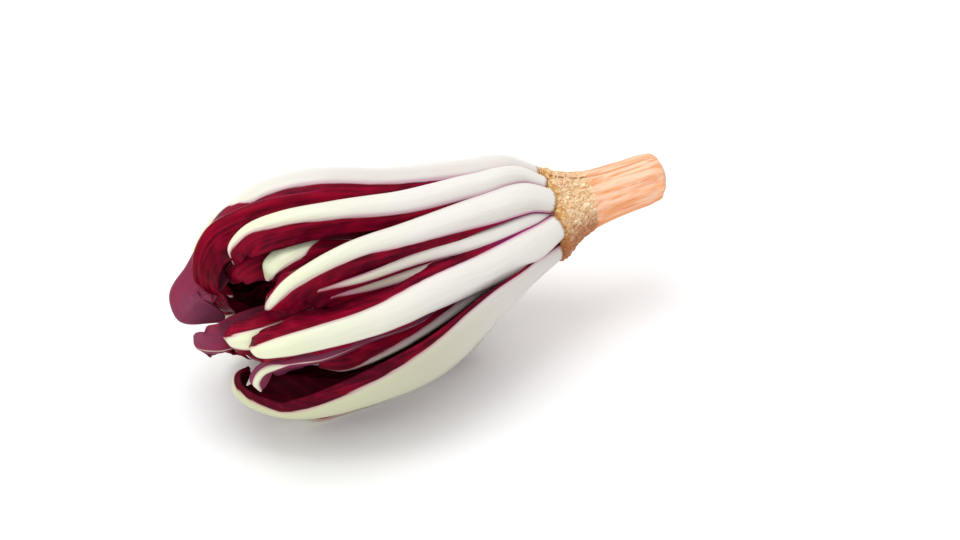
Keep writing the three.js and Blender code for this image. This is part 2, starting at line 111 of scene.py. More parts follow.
def operators(operation: str) -> tuple[Any, Any]:
    """Makes an operator of Wire and its reflected form.

    Args:
        operation: The operation of the node that it adds.

    Returns:
        The method with the wire on the left, and the one with the wire on the right.
    """

    def plain(self: "Wire", other: "Value") -> "Wire":
        """The operation with the wire on the left."""
        return self.bench.combine(operation, self, other)

    def reflected(self: "Wire", other: "Value") -> "Wire":
        """The operation with the wire on the right."""
        return self.bench.combine(operation, other, self)

    return plain, reflected


class Wire:
    """One output socket of a node tree. Arithmetic on it adds the Math or Vector Math nodes."""

    def __init__(self, bench: "Bench", socket: NodeSocket) -> None:
        """Keeps the socket and the bench that it is wired on."""
        self.bench = bench
        self.socket = socket

    @property
    def is_vector(self) -> bool:
        """True for a vector or a colour."""
        return self.socket.type in {"VECTOR", "RGBA"}

    __add__, __radd__ = operators("ADD")
    __sub__, __rsub__ = operators("SUBTRACT")
    __mul__, __rmul__ = operators("MULTIPLY")
    __truediv__, __rtruediv__ = operators("DIVIDE")
    __pow__, __rpow__ = operators("POWER")


Value = Union[Wire, float]


class Bench:
    """Adds nodes to one shader or geometry tree."""

    def __init__(self, tree: NodeTree, keys: Optional[Mapping[str, str]] = None) -> None:
        """Keeps the tree, and the identifier of each of its inputs by name."""
        self.tree = tree
        self.keys = keys or {}

    def node(self, kind: str, settings: Given = None, sockets: Given = None) -> Node:
        """Adds a node.

        Args:
            kind: The node's type.
            settings: Its own settings, which are set first.
            sockets: A value or a Wire for each input, by name or by place.

        Returns:
            The node.
        """
        made = self.tree.nodes.new(kind)
        for name, value in (settings or {}).items():
            setattr(made, name, value)
        for key, value in (sockets or {}).items():
            socket = self._find(made.inputs, key)
            if isinstance(value, Wire):
                self.tree.links.new(value.socket, socket)
            else:
                socket.default_value = (*value, 1.0) if socket.type == "RGBA" else value
        return made

    @staticmethod
    def _find(sockets: Any, key: Union[str, int]) -> NodeSocket:
        """A socket by its place, or the enabled one of that name."""
        if isinstance(key, int):
            return sockets[key]
        return next(s for s in sockets if s.name == key and s.enabled)

    def wire(self, made: Node, output: Union[str, int] = 0) -> Wire:
        """A node's output, by name or by place, as a Wire."""
        return Wire(self, self._find(made.outputs, output))

    def take(
        self, kind: str, settings: Given = None, sockets: Given = None, output: Union[str, int] = 0
    ) -> Wire:
        """Adds a node and returns one of its outputs as a Wire."""
        return self.wire(self.node(kind, settings, sockets), output)

    def math(self, operation: str, *values: Value) -> Wire:
        """A Math node."""
        return self.take("ShaderNodeMath", {"operation": operation}, dict(enumerate(values)))

    def combine(self, operation: str, left: Value, right: Value) -> Wire:
        """Two values under one operation, by Math for numbers and by Vector Math for vectors.

        Args:
            operation: The operation's name. A number and a vector are always multiplied.
            left: The first value.
            right: The second value.

        Returns:
            The result.
        """
        vectors = [isinstance(v, Wire) and v.is_vector for v in (left, right)]
        if not any(vectors):
            return self.math(operation, left, right)
        if all(vectors):
            return self.take("ShaderNodeVectorMath", {"operation": operation}, {0: left, 1: right})
        arrow, scale = (left, right) if vectors[0] else (right, left)
        return self.take("ShaderNodeVectorMath", {"operation": "SCALE"}, {0: arrow, 3: scale})

    def clamp(self, x: Wire) -> Wire:
        """x kept between 0 and 1."""
        return self.take("ShaderNodeClamp", None, {0: x, 1: 0.0, 2: 1.0})

    def smooth(self, low: Value, high: Value, x: Wire) -> Wire:
        """Smooth step of x from 0 at low to 1 at high."""
        settings = {"interpolation_type": "SMOOTHSTEP"}
        return self.take("ShaderNodeMapRange", settings, {0: x, 1: low, 2: high})

    def join(self, x: Value, y: Value, z: Value) -> Wire:
        """A vector of three numbers."""
        return self.take("ShaderNodeCombineXYZ", None, {0: x, 1: y, 2: z})

    def split(self, arrow: Wire) -> tuple[Wire, ...]:
        """A vector's three numbers."""
        made = self.node("ShaderNodeSeparateXYZ", None, {0: arrow})
        return tuple(self.wire(made, i) for i in range(3))

    def blend(self, factor: Value, first: Any, second: Any) -> Wire:
        """Colour from first to second as factor goes from 0 to 1."""
        return self.take("ShaderNodeMix", {"data_type": "RGBA"}, {0: factor, 6: first, 7: second}, 2)

    def noise(self, place: Wire, scale: float, detail: float = 3.0, rough: float = 0.5) -> Wire:
        """Soft noise between 0 and 1 at a place."""
        sockets = {"Vector": place, "Scale": scale, "Detail": detail, "Roughness": rough}
        return self.take("ShaderNodeTexNoise", None, sockets)

    def bump(self, height: Wire, strength: float, distance: float) -> Wire:
        """The normal that a height tilts; distance is in metres, for a height of 1."""
        sockets = {"Strength": strength, "Distance": distance, "Height": height}
        return self.take("ShaderNodeBump", None, sockets, "Normal")

    def attribute(self, name: str) -> Wire:
        """A mesh attribute's number, in a material."""
        return self.take("ShaderNodeAttribute", {"attribute_name": name}, None, "Fac")

    def grid(self, rows: Value, lap: Value) -> tuple[Wire, Wire, Wire]:
        """A grid with the row and the column of each of its points.

        Args:
            rows: How many rows it has.
            lap: How many points a row has.

        Returns:
            The grid, the row and the column.
        """
        sheet = self.take("GeometryNodeMeshGrid", None, {"Vertices X": rows, "Vertices Y": lap})
        index = self.take("GeometryNodeInputIndex")
        row = self.math("FLOOR", (index + 0.5) / lap)
        return sheet, row, index - row * lap

    def station(self, line: Wire, row: Wire, name: str, settings: Given = None) -> Wire:
        """What a carrier line holds at a row.

        Args:
            line: The line of points.
            row: Which of its points to read.
            name: "position", or the name of what the points carry.
            settings: POINT_VECTOR where that is a vector, and nothing where it is a number.

        Returns:
            The vector or number.
        """
        settings = settings or POINT_NUMBER
        if name == "position":
            value = self.take("GeometryNodeInputPosition")
        else:
            kind = {"data_type": settings["data_type"]}
            value = self.take("GeometryNodeInputNamedAttribute", kind, {"Name": name})
        sockets = {"Geometry": line, "Value": value, "Index": row}
        return self.take("GeometryNodeSampleIndex", settings, sockets)

    def store(self, shape: Wire, values: Mapping[str, Value]) -> Wire:
        """Stores numbers on a shape's points, by name."""
        for name, value in values.items():
            sockets = {"Geometry": shape, "Name": name, "Value": value}
            shape = self.take("GeometryNodeStoreNamedAttribute", POINT_NUMBER, sockets)
        return shape


def stand(name: str, data: Any) -> Object:
    """Puts a new object in the scene."""
    made = bpy.data.objects.new(name, data)
    bpy.context.scene.collection.objects.link(made)
    return made


class Workshop:
    """Turns Geometry Nodes on a carrier mesh into a plain mesh."""

    @staticmethod
    def group(name: str, inputs: Mapping[str, Sequence[str]]) -> tuple[Bench, dict[str, Wire]]:
        """Starts a geometry tree.

        Args:
            name: The tree's name.
            inputs: Names of the inputs after the geometry, by their kind.

        Returns:
            The bench, and each input's Wire by name.
        """
        tree = bpy.data.node_groups.new(name, "GeometryNodeTree")
        add = tree.interface.new_socket
        add(name="Geometry", in_out="INPUT", socket_type="NodeSocketGeometry")
        add(name="Geometry", in_out="OUTPUT", socket_type="NodeSocketGeometry")
        keys = {}
        for kind, names in inputs.items():
            for n in names:
                keys[n] = add(name=n, in_out="INPUT", socket_type="NodeSocket" + kind).identifier
        bench = Bench(tree, keys)
        entry = bench.node("NodeGroupInput")
        return bench, {n: bench.wire(entry, n) for n in ("Geometry", *keys)}

    @staticmethod
    def close(bench: Bench, shape: Wire, finish: Wire) -> None:
        """Ends a tree: welds, shades smooth, realizes, sets the material and links the output.

        Args:
            bench: The bench of the tree.
            shape: What it has made.
            finish: The material, which is one of the tree's inputs.
        """
        shape = bench.take("GeometryNodeMergeByDistance", None, {"Geometry": shape, "Distance": WELD})
        shape = bench.take("GeometryNodeSetShadeSmooth", None, {"Geometry": shape})
        shape = bench.take("GeometryNodeRealizeInstances", None, {"Geometry": shape})
        shape = bench.take("GeometryNodeSetMaterial", None, {"Geometry": shape, "Material": finish})
        bench.node("NodeGroupOutput", None, {"Geometry": shape})

    @staticmethod
    def carrier(name: str, points: np.ndarray, columns: Mapping[str, np.ndarray]) -> Object:
        """An object whose mesh is a line of points that carry numbers and vectors.

        Args:
            name: The object's name.
            points: One row for each point, in millimetres.
            columns: Named numbers or vectors, one for each point.

        Returns:
            The object, in the scene.
        """
        mesh = bpy.data.meshes.new(name)
        mesh.from_pydata(points.tolist(), [(i, i + 1) for i in range(len(points) - 1)], [])
        for key, values in columns.items():
            kind, field = ("FLOAT_VECTOR", "vector") if values.ndim == 2 else ("FLOAT", "value")
            layer = mesh.attributes.new(key, kind, "POINT")
            layer.data.foreach_set(field, np.ascontiguousarray(values, np.float32).ravel())
        return stand(name, mesh)

    @staticmethod
    def bake(made: Object, sweep: Bench, values: Mapping[str, Any]) -> Object:
        """Runs a geometry tree on an object and keeps the result as its plain mesh.

        Args:
            made: The carrier object.
            sweep: The bench of the geometry tree.
            values: A value for each of the tree's inputs, by name.

        Returns:
            The same object.
        """
        modifier = made.modifiers.new("shape", "NODES")
        modifier.node_group = sweep.tree
        for name, value in values.items():
            modifier[sweep.keys[name]] = value
        graph = bpy.context.evaluated_depsgraph_get()
        graph.update()
        shaped = made.evaluated_get(graph)
        mesh = bpy.data.meshes.new_from_object(shaped, preserve_all_data_layers=True, depsgraph=graph)
        made.modifiers.clear()
        old, made.data = made.data, mesh
        mesh.name = made.name
        bpy.data.meshes.remove(old)
        return made

    @staticmethod
    def merge(name: str, parts: Sequence[Object]) -> Object:
        """Joins several objects into the first one, under a new name."""
        with bpy.context.temp_override(active_object=parts[0], selected_editable_objects=list(parts)):
            bpy.ops.object.join()
        parts[0].name = parts[0].data.name = name
        return parts[0]


# ---- the head's form ----


@dataclass(frozen=True)
class HeadForm:
    """The drooping spine that everything is placed about, and the head's outline round it.

    A crest line has knots at `shares` of its length from base_s on. It lies under the outline by inset
    and by its own depth, of which it has the share `sunk` where it starts. Its tip lies tip_drop
    deeper, and its last knots go back and in by hook_steps.
    """

    collar_x: float = 46.92
    shift_y: float = 4.85
    spine_s: Row = (0, 12, 28, 45, 60, 85, 120, 145)
    spine_y: Row = (0, 0.5, -0.6, -2.2, -2.8, -2.6, -3.4, -3)
    spine_z: Row = (45, 45.2, 43.4, 40, 38.2, 38.8, 39.6, 41)
    body_s: Row = (0, 10, 25, 40, 57, 80, 100, 115, 125, 135, 147)
    body_r: Row = (17.4, 22.9, 28.3, 33.1, 38.5, 42.7, 42.3, 37.7, 32, 25, 10)
    base_s: float = 1.5
    inset: float = 1.0
    sunk: float = 0.25
    last_s: float = 140.0
    tip_drop: float = 4.0
    shares: Row = (0, 0.1, 0.25, 0.42, 0.6, 0.78, 0.9)
    hook_steps: tuple[Row, ...] = ((0, 0.35), (0.25, 1), (0.8, 1.35))

    def centre(self, s: Any) -> np.ndarray:
        """Points of the spine at distances s from the collar."""
        s = np.asarray(s, float)
        y = curve(self.spine_s, self.spine_y, s) + self.shift_y
        return np.stack([self.collar_x - s, y, curve(self.spine_s, self.spine_z, s)], -1)

    def radius(self, s: float) -> float:
        """Outline radius at distance s from the collar."""
        return float(curve(self.body_s, self.body_r, s))

    def crest(self, depth: float, tip: float, bearing: float, hook: float, twist: float = 0.0) -> tuple:
        """Crest line of a leaf that follows the outline.

        Args:
            depth: How far the leaf lies under the outline.
            tip: How far from the collar it reaches.
            bearing: Where it lies round the spine, in degrees.
            hook: How far its end folds in over the heart.
            twist: How far its bearing turns along its length.

        Returns:
            Knots of distance from the collar, radius and bearing.
        """
        knots = []
        for f in self.shares:
            s = self.base_s + f * (tip - self.base_s)
            under = depth * (self.sunk + (1 - self.sunk) * float(smooth(0, 0.3, f)))
            knots.append((s, self.radius(s) - self.inset - under, bearing + twist * f))
        r = self.radius(min(tip, self.last_s)) - self.inset - depth - self.tip_drop
        for back, fall in self.hook_steps:
            knots.append((tip - back * hook, r - fall * hook, bearing + twist))
        return tuple(knots)


FORM = HeadForm()

SECTION_T = (0, 0.12, 0.35, 0.65, 0.85, 1)
SCALE_T = (0, 0.25, 0.6, 1)
ROLL_T = (0, 0.35, 0.7, 1)


@dataclass(frozen=True)
class Section:
    """A leaf's cross-section at SECTION_T: half widths, fold and the rib's thickness."""

    rib: Row
    blade: Row
    fold: Row
    thick: Row


class LeafRing(Enum):
    """The ring of the head that a leaf grows in, which settles its section."""

    OUTER = Section(
        rib=(4.6, 6.0, 5.5, 3.9, 3.0, 1.3),
        blade=(0.5, 1.2, 5.0, 8.0, 7.0, 4.0),
        fold=(22, 40, 62, 75, 62, 40),
        thick=(5.0, 6.0, 5.6, 4.2, 2.8, 1.4),
    )
    MIDDLE = Section(
        rib=(3.6, 4.8, 4.6, 3.4, 2.6, 1.2),
        blade=(0.5, 1.2, 4.6, 7.5, 6.6, 4.0),
        fold=(22, 35, 60, 66, 56, 40),
        thick=(4.0, 4.4, 4.0, 3.0, 2.2, 1.3),
    )
    INNER = Section(
        rib=(2.1, 3.4, 3.6, 2.9, 2.2, 1.0),
        blade=(0.4, 1.1, 4.2, 6.2, 5.2, 3.2),
        fold=(20, 35, 56, 58, 48, 36),
        thick=(2.3, 3.0, 3.0, 2.4, 1.8, 1.2),
    )

OUTER, MIDDLE, INNER = LeafRing

# A crest line is drawn with ARC_POINTS points and then read off at LINE_T.
ARC_POINTS = 601
LINE_T = np.linspace(0, 1, 401)
# The share of a leaf's thickness that lies outside its midrib line.
OUTSIDE = 0.62
# A midrib's normal turns outwards by this share at each point, where it runs forward off the axis.
OUTWARD, FORWARD, OFF_AXIS = 0.06, -0.55, 6.0
# The rows at a leaf's start and end, and how far its wall is open there.
START_T, START_OPEN = (0, 0, 0.0012, 0.003), (0, 0.72, 0.93, 1)
END_T, END_OPEN = (0.9985, 1, 1, 1), (1, 0.85, 0.6, 0)
# The rows between crowd towards the tip, and the outline is rounded off from CAP_T on.
CROWD = 1.25
CAP_T, CAP_WIDTH, CAP_LEAST = 0.93, 0.07, 0.06
# The least and the greatest share of the half width that the rib takes.
RIB_SHARE = (0.05, 0.97)
# A leaf's tone goes round once as its phase goes on by a seventh or so.
TONE_TURNS = 7.31


@dataclass(frozen=True)
class LeafSweep:
    """Geometry Nodes that sweep a leaf's folded section along its midrib, as one closed skin."""

    crown: float = math.radians(16)
    flare: float = math.radians(18)
    turn_width: float = 0.22
    blade_mm: float = 0.8
    waves: tuple[float, float] = (5.3, 11.7)
    vein_gap: float = 8.5
    vein_slant: float = 1.35
    vein_mm: float = 0.06
    flutes: float = 2.6
    flute_mm: float = 0.045
    swell: float = 0.8

    def fold_at(self, bench: Bench, across: Wire, rib: Wire, fold: Wire) -> Wire:
        """How far the section has turned at a place across it.

        Args:
            bench: The bench of the tree.
            across: The place, as a share of the half width.
            rib: The rib's share of the half width.
            fold: How far the blade is folded in.

        Returns:
            The turn, in radians.
        """
        rise = bench.clamp(across / rib) * self.crown
        bend = bench.smooth(0.0, 2 * self.turn_width, across - rib + self.turn_width)
        return rise + (fold - self.crown) * bend - bench.smooth(0.75, 1.0, across) * self.flare

    def build(self) -> Bench:
        """Makes the tree, which reads what Leaf.carrier stores.

        Returns:
            The tree's bench.
        """
        numbers = ("Wave phase", "Ruffle", "Tint", "Flush", "Tone")
        inputs = {"Int": ("Rows", "Columns"), "Float": numbers, "Material": ("Finish",)}
        b, given = Workshop.group("leaf sweep", inputs)
        line, columns, phase = given["Geometry"], given["Columns"], given["Wave phase"]
        lap = columns * 2.0 + 1.0
        sheet, row, col = b.grid(given["Rows"], lap)
        names = ("t", "along", "open", "fold", "thick", "keep", "dusk", "shade")
        t, along, opened, fold, thick, keep, dusk, shade = (b.station(line, row, n) for n in names)
        names = ("half_lo", "half_hi", "rib_lo", "rib_hi")
        half_lo, half_hi, rib_lo, rib_hi = (b.station(line, row, n) for n in names)
        names = ("position", "up", "side")
        centre, up, side = (b.station(line, row, n, POINT_VECTOR) for n in names)

        def share(place: Wire) -> Wire:
            """Signed share of the half width; columns run out over the back and return inside."""
            k = b.math("MAXIMUM", b.math("MINIMUM", place, columns * 2.0 - 1.0 - place), 0.0)
            return k * 2.0 / (columns - 1.0) - 1.0

        def sides(u: Wire) -> tuple[Wire, ...]:
            """Sign, size, half width and rib share on the side that u lies on."""
            far = b.math("LESS_THAN", u, 0.0)
            half, rib = half_lo + (half_hi - half_lo) * far, rib_lo + (rib_hi - rib_lo) * far
            return 1.0 - far * 2.0, b.math("ABSOLUTE", u), half, rib

        u, before = share(col), share(col - 1.0)
        step = u - before
        sign_m, size_m, half_m, rib_m = sides((u + before) * 0.5)
        turn_m = self.fold_at(b, size_m, rib_m, fold)
        run = b.math("COSINE", turn_m) * half_m * step
        drop = b.math("SINE", turn_m) * half_m * step * sign_m * -1.0
        sockets = {"Value": b.join(run, drop, 0.0), "Group ID": row}
        summed = b.take("GeometryNodeAccumulateField", POINT_VECTOR, sockets, "Leading")
        sockets = {"Index": row * lap + (columns - 1.0) * 0.5, "Value": summed}
        flat = summed - b.take("GeometryNodeFieldAtIndex", POINT_VECTOR, sockets)
        flat_y, flat_d, _ = b.split(flat)

        sign, size, half, rib = sides(u)
        turn = self.fold_at(b, size, rib, fold)
        face = side * (b.math("SINE", turn) * sign) + up * b.math("COSINE", turn)
        inside = b.math("GREATER_THAN", col, columns - 0.5)
        inside = inside * b.math("LESS_THAN", col, columns * 2.0 - 0.5)
        bulge = b.clamp(1.0 - (size / rib) * (size / rib)) ** 0.65
        wall = (thick - self.blade_mm) * bulge + self.blade_mm
        wall = wall * (1.0 - 0.4 * b.smooth(0.95, 1.0, size)) * opened

        across = u * half
        bare = b.math("MAXIMUM", size - rib, 0.0) * half
        long_wave = b.math("SINE", (t * self.waves[0] + phase + sign * 0.31) * math.tau)
        short_wave = b.math("SINE", (t * self.waves[1] + phase * 2.0 + sign * 0.2) * math.tau)
        swing = b.smooth(0.3, 0.75, t) * (1.0 - 0.6 * b.smooth(0.9, 1.0, t)) * b.smooth(0.45, 1.0, size)
        ruffle = (long_wave + short_wave * 0.5) * swing * given["Ruffle"]
        drift = b.noise(b.join(across * 0.12, along * 0.05, phase * 31.0), 1.0, 2.0) - 0.5
        vein_at = (along - bare * self.vein_slant) / self.vein_gap + phase * 3.0 + drift * 1.1
        vein = b.smooth(0.45, 1.0, 1.0 - b.math("ABSOLUTE", b.math("FRACT", vein_at) * 2.0 - 1.0))
        vein_rise = vein * b.smooth(0.2, 2.0, bare) * (1.0 - b.smooth(0.8, 1.0, size)) * self.vein_mm
        flutes = b.math("SINE", across * self.flutes + drift * 5.0) * bulge * b.smooth(0.05, 0.25, t)
        relief = ruffle + drift * bulge * b.smooth(0.02, 0.1, t) * self.swell

        lift = wall * (OUTSIDE - inside) + relief + (vein_rise + flutes * self.flute_mm) * opened
        place = centre + side * flat_y + up * flat_d + face * lift
        x, y, z = b.split(place)
        z = b.math("MAXIMUM", z, inside * self.blade_mm * 0.9)
        sockets = {"Geometry": sheet, "Position": b.join(x, y, z) * MM}
        sheet = b.take("GeometryNodeSetPosition", None, sockets)

        low_side = b.math("GREATER_THAN", u, 0.0)
        tinted = given["Tint"] * (1.0 - low_side) * b.smooth(0.2, 0.5, t)
        flushed = b.math("MAXIMUM", low_side, b.math("LESS_THAN", given["Flush"], 0.0))
        carried = {
            "blade_mm": size * half - rib * half * keep + tinted, "bare_mm": bare, "across_mm": across,
            "along_mm": along, "leaf_t": t, "inside": inside, "rim": b.smooth(0.9, 1.0, size),
            "tone": given["Tone"], "low_side": low_side, "flush": flushed * given["Flush"], "dusk": dusk,
            "shade": shade, "vein": vein,
        }
        sheet = b.take("GeometryNodeFlipFaces", None, {"Mesh": b.store(sheet, carried)})
        Workshop.close(b, sheet, given["Finish"])
        return b


@dataclass(frozen=True)
class Leaf:
    """One leaf: a fleshy rib along a crest line, with a thin blade folded in on each side.

    Attributes:
        name: The solid that it stands for.
        ring: Where in the head it grows.
        path: Knots of the crest line: distance from the collar, radius and bearing in degrees.
        rib: Scale of the rib's half width, at SCALE_T.
        lo: Scale of the blade on the side of the smaller bearing, at SCALE_T.
        hi: Scale of the blade on the side of the larger bearing, at SCALE_T.
        roll: Turn of the section in degrees, at ROLL_T.
        pale: Two places that the pale rib sets in between, and two that it ends between.
        shade: How far painted shade turns the rib grey-mauve, at SCALE_T.
        tint: How far red spreads over the rib on the side of the larger bearing.
        flush: Above 0, how magenta the smaller bearing's blade starts. Below 0, how green and dark the rib
        is and how dark both blades are: the rib's own yellow-green, with painted shade on top.
        dusk: How dull the blade is, at SCALE_T.
        phase: Sets its waves, veins and mottle apart from those of other leaves.
        ruffle: Height of its waves.
    """

    name: str
    ring: LeafRing
    path: tuple
    rib: Scale = 1.0
    lo: Scale = 1.0
    hi: Scale = 1.0
    roll: Scale = 0.0
    pale: Row = (-1.0, -0.5, 0.9, 1.05)
    shade: Scale = 0.0
    tint: float = 0.0
    flush: float = 0.0
    dusk: Scale = 0.04
    phase: float = 0.0
    ruffle: float = 0.9
    rows: int = 116
    columns: int = 41

    def midrib(self) -> tuple[np.ndarray, np.ndarray, np.ndarray, float]:
        """The line under the rib's crest.

        Returns:
            Points, outward directions and sideways directions, evenly spaced, and the line's length.
        """
        knots = np.array(self.path, float)
        bearing = np.radians(knots[:, 2])
        points = FORM.centre(knots[:, 0])
        points[:, 1] -= np.sin(bearing) * knots[:, 1]
        points[:, 2] += np.cos(bearing) * knots[:, 1]
        q = arc_length(points)
        fine = np.linspace(0, q[-1], ARC_POINTS)
        line = np.stack([curve(q, points[:, k], fine) for k in range(3)], 1)
        arc = arc_length(line)
        line = resample(arc, line, np.linspace(0, arc[-1], len(LINE_T)))
        ahead = np.gradient(line, axis=0)
        ahead /= np.linalg.norm(ahead, axis=1, keepdims=True)
        radial = line - FORM.centre(np.clip(FORM.collar_x - line[:, 0], 0, FORM.spine_s[-1]))
        radial[:, 0] = 0
        up = np.empty_like(line)
        normal = radial[0]
        for i, forward in enumerate(ahead):
            normal = normal - forward * (normal @ forward)
            normal /= np.linalg.norm(normal)
            out = radial[i] - forward * (radial[i] @ forward)
            size = np.linalg.norm(out)
            if forward[0] < FORWARD and size > OFF_AXIS:
                normal = (1 - OUTWARD) * normal + OUTWARD * out / size
                normal /= np.linalg.norm(normal)
            up[i] = normal
        side = np.cross(ahead, up)
        roll = np.radians(curve(ROLL_T, self.roll, LINE_T))[:, None]
        turned = up * np.cos(roll) + side * np.sin(roll)
        side = side * np.cos(roll) - up * np.sin(roll)
        line -= turned * (OUTSIDE * curve(SECTION_T, self.ring.value.thick, LINE_T))[:, None]
        return line, turned, side, float(arc[-1])

    def carrier(self) -> Object:
        """Draws the midrib as a line of points that carry the section's sizes.

        Returns:
            The line's object.
        """
        line, up, side, length = self.midrib()
        middle = 1 - (1 - np.linspace(0, 1, self.rows - 6)) ** CROWD
        t = np.sort(np.concatenate([START_T, middle[1:-1], END_T]))
        opened = np.ones(len(t))
        opened[:4], opened[-4:] = START_OPEN, END_OPEN
        section = self.ring.value
        rib = curve(SECTION_T, section.rib, t) * curve(SCALE_T, self.rib, t)
        blade = curve(SECTION_T, section.blade, t)
        blade_lo, blade_hi = (blade * curve(SCALE_T, scale, t) for scale in (self.lo, self.hi))
        cap = np.sqrt(np.clip(1 - np.clip((t - CAP_T) / CAP_WIDTH, 0, 1) ** 2, CAP_LEAST, 1))
        up, side = resample(LINE_T, up, t), resample(LINE_T, side, t)
        columns = {
            "t": t,
            "along": t * length,
            "open": opened,
            "fold": np.radians(curve(SECTION_T, section.fold, t)),
            "thick": curve(SECTION_T, section.thick, t),
            "keep": smooth(*self.pale[:2], t) * (1 - smooth(*self.pale[2:], t)),
            "dusk": np.clip(curve(SCALE_T, self.dusk, t), 0, 1),
            "shade": np.clip(curve(SCALE_T, self.shade, t), 0, 1),
            "up": up / np.linalg.norm(up, axis=1, keepdims=True),
            "side": side / np.linalg.norm(side, axis=1, keepdims=True),
            "half_lo": (rib + blade_lo) * cap,
            "half_hi": (rib + blade_hi) * cap,
            "rib_lo": np.clip(rib / (rib + blade_lo), *RIB_SHARE),
            "rib_hi": np.clip(rib / (rib + blade_hi), *RIB_SHARE),
        }
        return Workshop.carrier(self.name, resample(LINE_T, line, t), columns)

    def build(self, sweep: Bench, finish: Material) -> Object:
        """Sweeps the leaf.

        Args:
            sweep: The leaf sweep.
            finish: The leaf's material.

        Returns:
            The leaf's object, with a plain mesh.
        """
        made = self.carrier()
        values = {
            "Rows": len(made.data.vertices), "Columns": self.columns, "Wave phase": self.phase,
            "Ruffle": self.ruffle, "Tint": self.tint, "Flush": self.flush,
            "Tone": (self.phase * TONE_TURNS) % 1.0, "Finish": finish,
        }
        return Workshop.bake(made, sweep, values)


# ---- finishes ----


def new_material(name: str) -> tuple[Material, Bench]:
    """An empty material and the bench of its tree."""
    made = bpy.data.materials.new(name)
    made.use_nodes = True
    made.node_tree.nodes.clear()
    return made, Bench(made.node_tree)


def surface(bench: Bench, sockets: Mapping[str, Any]) -> None:
    """Ends a material with a Principled shader."""
    shader = bench.take("ShaderNodeBsdfPrincipled", None, sockets)
    bench.node("ShaderNodeOutputMaterial", None, {"Surface": shader})


@dataclass(frozen=True)
class LeafFinish:
    """A leaf's skin: a pale glossy rib that feathers through magenta into a wine-red blade."""

    rib: Colour = (0.74, 0.715, 0.67)
    rib_tip: Colour = (0.68, 0.72, 0.45)
    rib_vein: Colour = (0.56, 0.54, 0.42)
    rib_shade: Colour = (0.25, 0.14, 0.135)
    rib_green_shade: Colour = (0.36, 0.38, 0.14)
    fringe: Colour = (0.52, 0.07, 0.32)
    crimson: Colour = (0.25, 0.0015, 0.018)
    deep: Colour = (0.060, 0.0008, 0.006)
    young: Colour = (0.42, 0.035, 0.26)
    dusky: Colour = (0.215, 0.05, 0.10)
    vein: Colour = (0.52, 0.005, 0.07)
    cut: Colour = (0.36, 0.17, 0.035)
    roughness: float = 0.34
    coat: float = 0.40
    relief: float = 0.3
    relief_m: float = 0.0004

    def build(self) -> Material:
        """Makes the material.

        Returns:
            The material, which reads what the sweeps store.
        """
        made, b = new_material("radicchio leaf")
        edge, bare, across, along = map(b.attribute, ("blade_mm", "bare_mm", "across_mm", "along_mm"))
        t, inside, rim, tone = map(b.attribute, ("leaf_t", "inside", "rim", "tone"))
        low_side, flush, dusk = map(b.attribute, ("low_side", "flush", "dusk"))
        shade, vein = map(b.attribute, ("shade", "vein"))
        streak = b.noise(b.join(across, along * 0.045, tone * 40.0), 0.9, 4.0, 0.6)
        fine = b.noise(b.join(across, along * 0.03, tone * 40.0 + 9.0), 3.2, 3.0)
        cloud = b.noise(b.join(across * 0.16, along * 0.10, tone * 20.0), 1.0, 3.0)

        feather = edge + (streak - 0.5) * (0.3 + 1.3 * b.smooth(0.3, 0.8, t))
        red_out = b.smooth(-0.22, 0.22, feather)
        red_in = b.math("MAXIMUM", b.smooth(0.1, 0.3, t), red_out)
        red = red_out + (red_in - red_out) * inside
        fringe = b.smooth(-0.9, -0.05, feather) * (1.0 - red) * (0.3 + 0.3 * streak)

        pale = b.blend(b.smooth(0.40, 0.95, t) * (0.5 + 0.5 * cloud), self.rib, self.rib_tip)
        pale = b.blend(b.smooth(0.5, 0.75, fine) * 0.25, pale, self.rib_vein)
        # Flush below 0 marks a leaf that lies underneath: its rib takes its own yellow-green and painted
        # shade, and its blades painted shade.
        green_shade = b.clamp(flush * -1.0)
        pale = b.blend(green_shade * b.smooth(0.15, 0.5, t) * 0.5, pale, self.rib_green_shade)
        # Painted shade: the rib turns grey-mauve as far as the leaf's shade asks, and more on its side
        # turned down, towards the base.
        turned_down = (1.0 - low_side) * b.smooth(0.5, 5.0, b.math("ABSOLUTE", across))
        painted_rib_shade = shade + turned_down * (1.0 - b.smooth(0.3, 0.9, t)) * 0.18
        pale = b.blend(b.clamp(painted_rib_shade + (streak - 0.5) * 0.4 * painted_rib_shade), pale, self.rib_shade)
        pale = b.blend(fringe, pale, self.fringe)
        browned = 1.0 - b.smooth(0.2, 1.7, along + (fine - 0.5) * 2.4)
        pale = b.blend(browned * 0.9, pale, self.cut)

        mottle = bare * 0.06 + (streak - 0.5) * 2.8 + (cloud - 0.5) * 1.8 + 0.38
        # The wine deepens with random mottle and away from the rib; its extra depth on the leaf's inner face
        # and on leaves underneath is painted shade.
        wine = b.blend(b.clamp(mottle + inside * 0.25 + green_shade * 0.4), self.crimson, self.deep)
        veined = vein * b.smooth(0.3, 1.5, bare)
        lines = veined * (0.15 + 0.4 * fine) + b.smooth(0.6, 0.8, fine) * 0.35
        wine = b.blend(lines * 0.28, wine, self.vein)
        wine = b.blend(b.clamp(dusk) * (0.4 + 0.8 * cloud), wine, self.dusky)
        wine = b.blend(rim * dusk * 0.4, wine, self.crimson)
        young = flush * (1.0 - b.smooth(0.35, 0.75, t)) + (1.0 - b.smooth(0.10, 0.30, t)) * 0.5
        young = b.clamp(young) * (1.0 - green_shade) * (1.0 - 0.7 * b.smooth(1.2, 3.5, bare)) * 0.85
        wine = b.blend(young, wine, self.young)

        height = veined * 0.3 + fine * 0.35 + streak * 0.4
        sockets = {
            "Base Color": b.blend(red, pale, wine),
            "Roughness": self.roughness + red * 0.02 + dusk * red * 0.2 + (cloud - 0.5) * 0.08,
            "Normal": b.bump(height, self.relief, self.relief_m),
            "Coat Weight": self.coat - red * self.coat, "Coat Roughness": 0.2, "Specular IOR Level": 0.03,
        }
        surface(b, sockets)
        return made


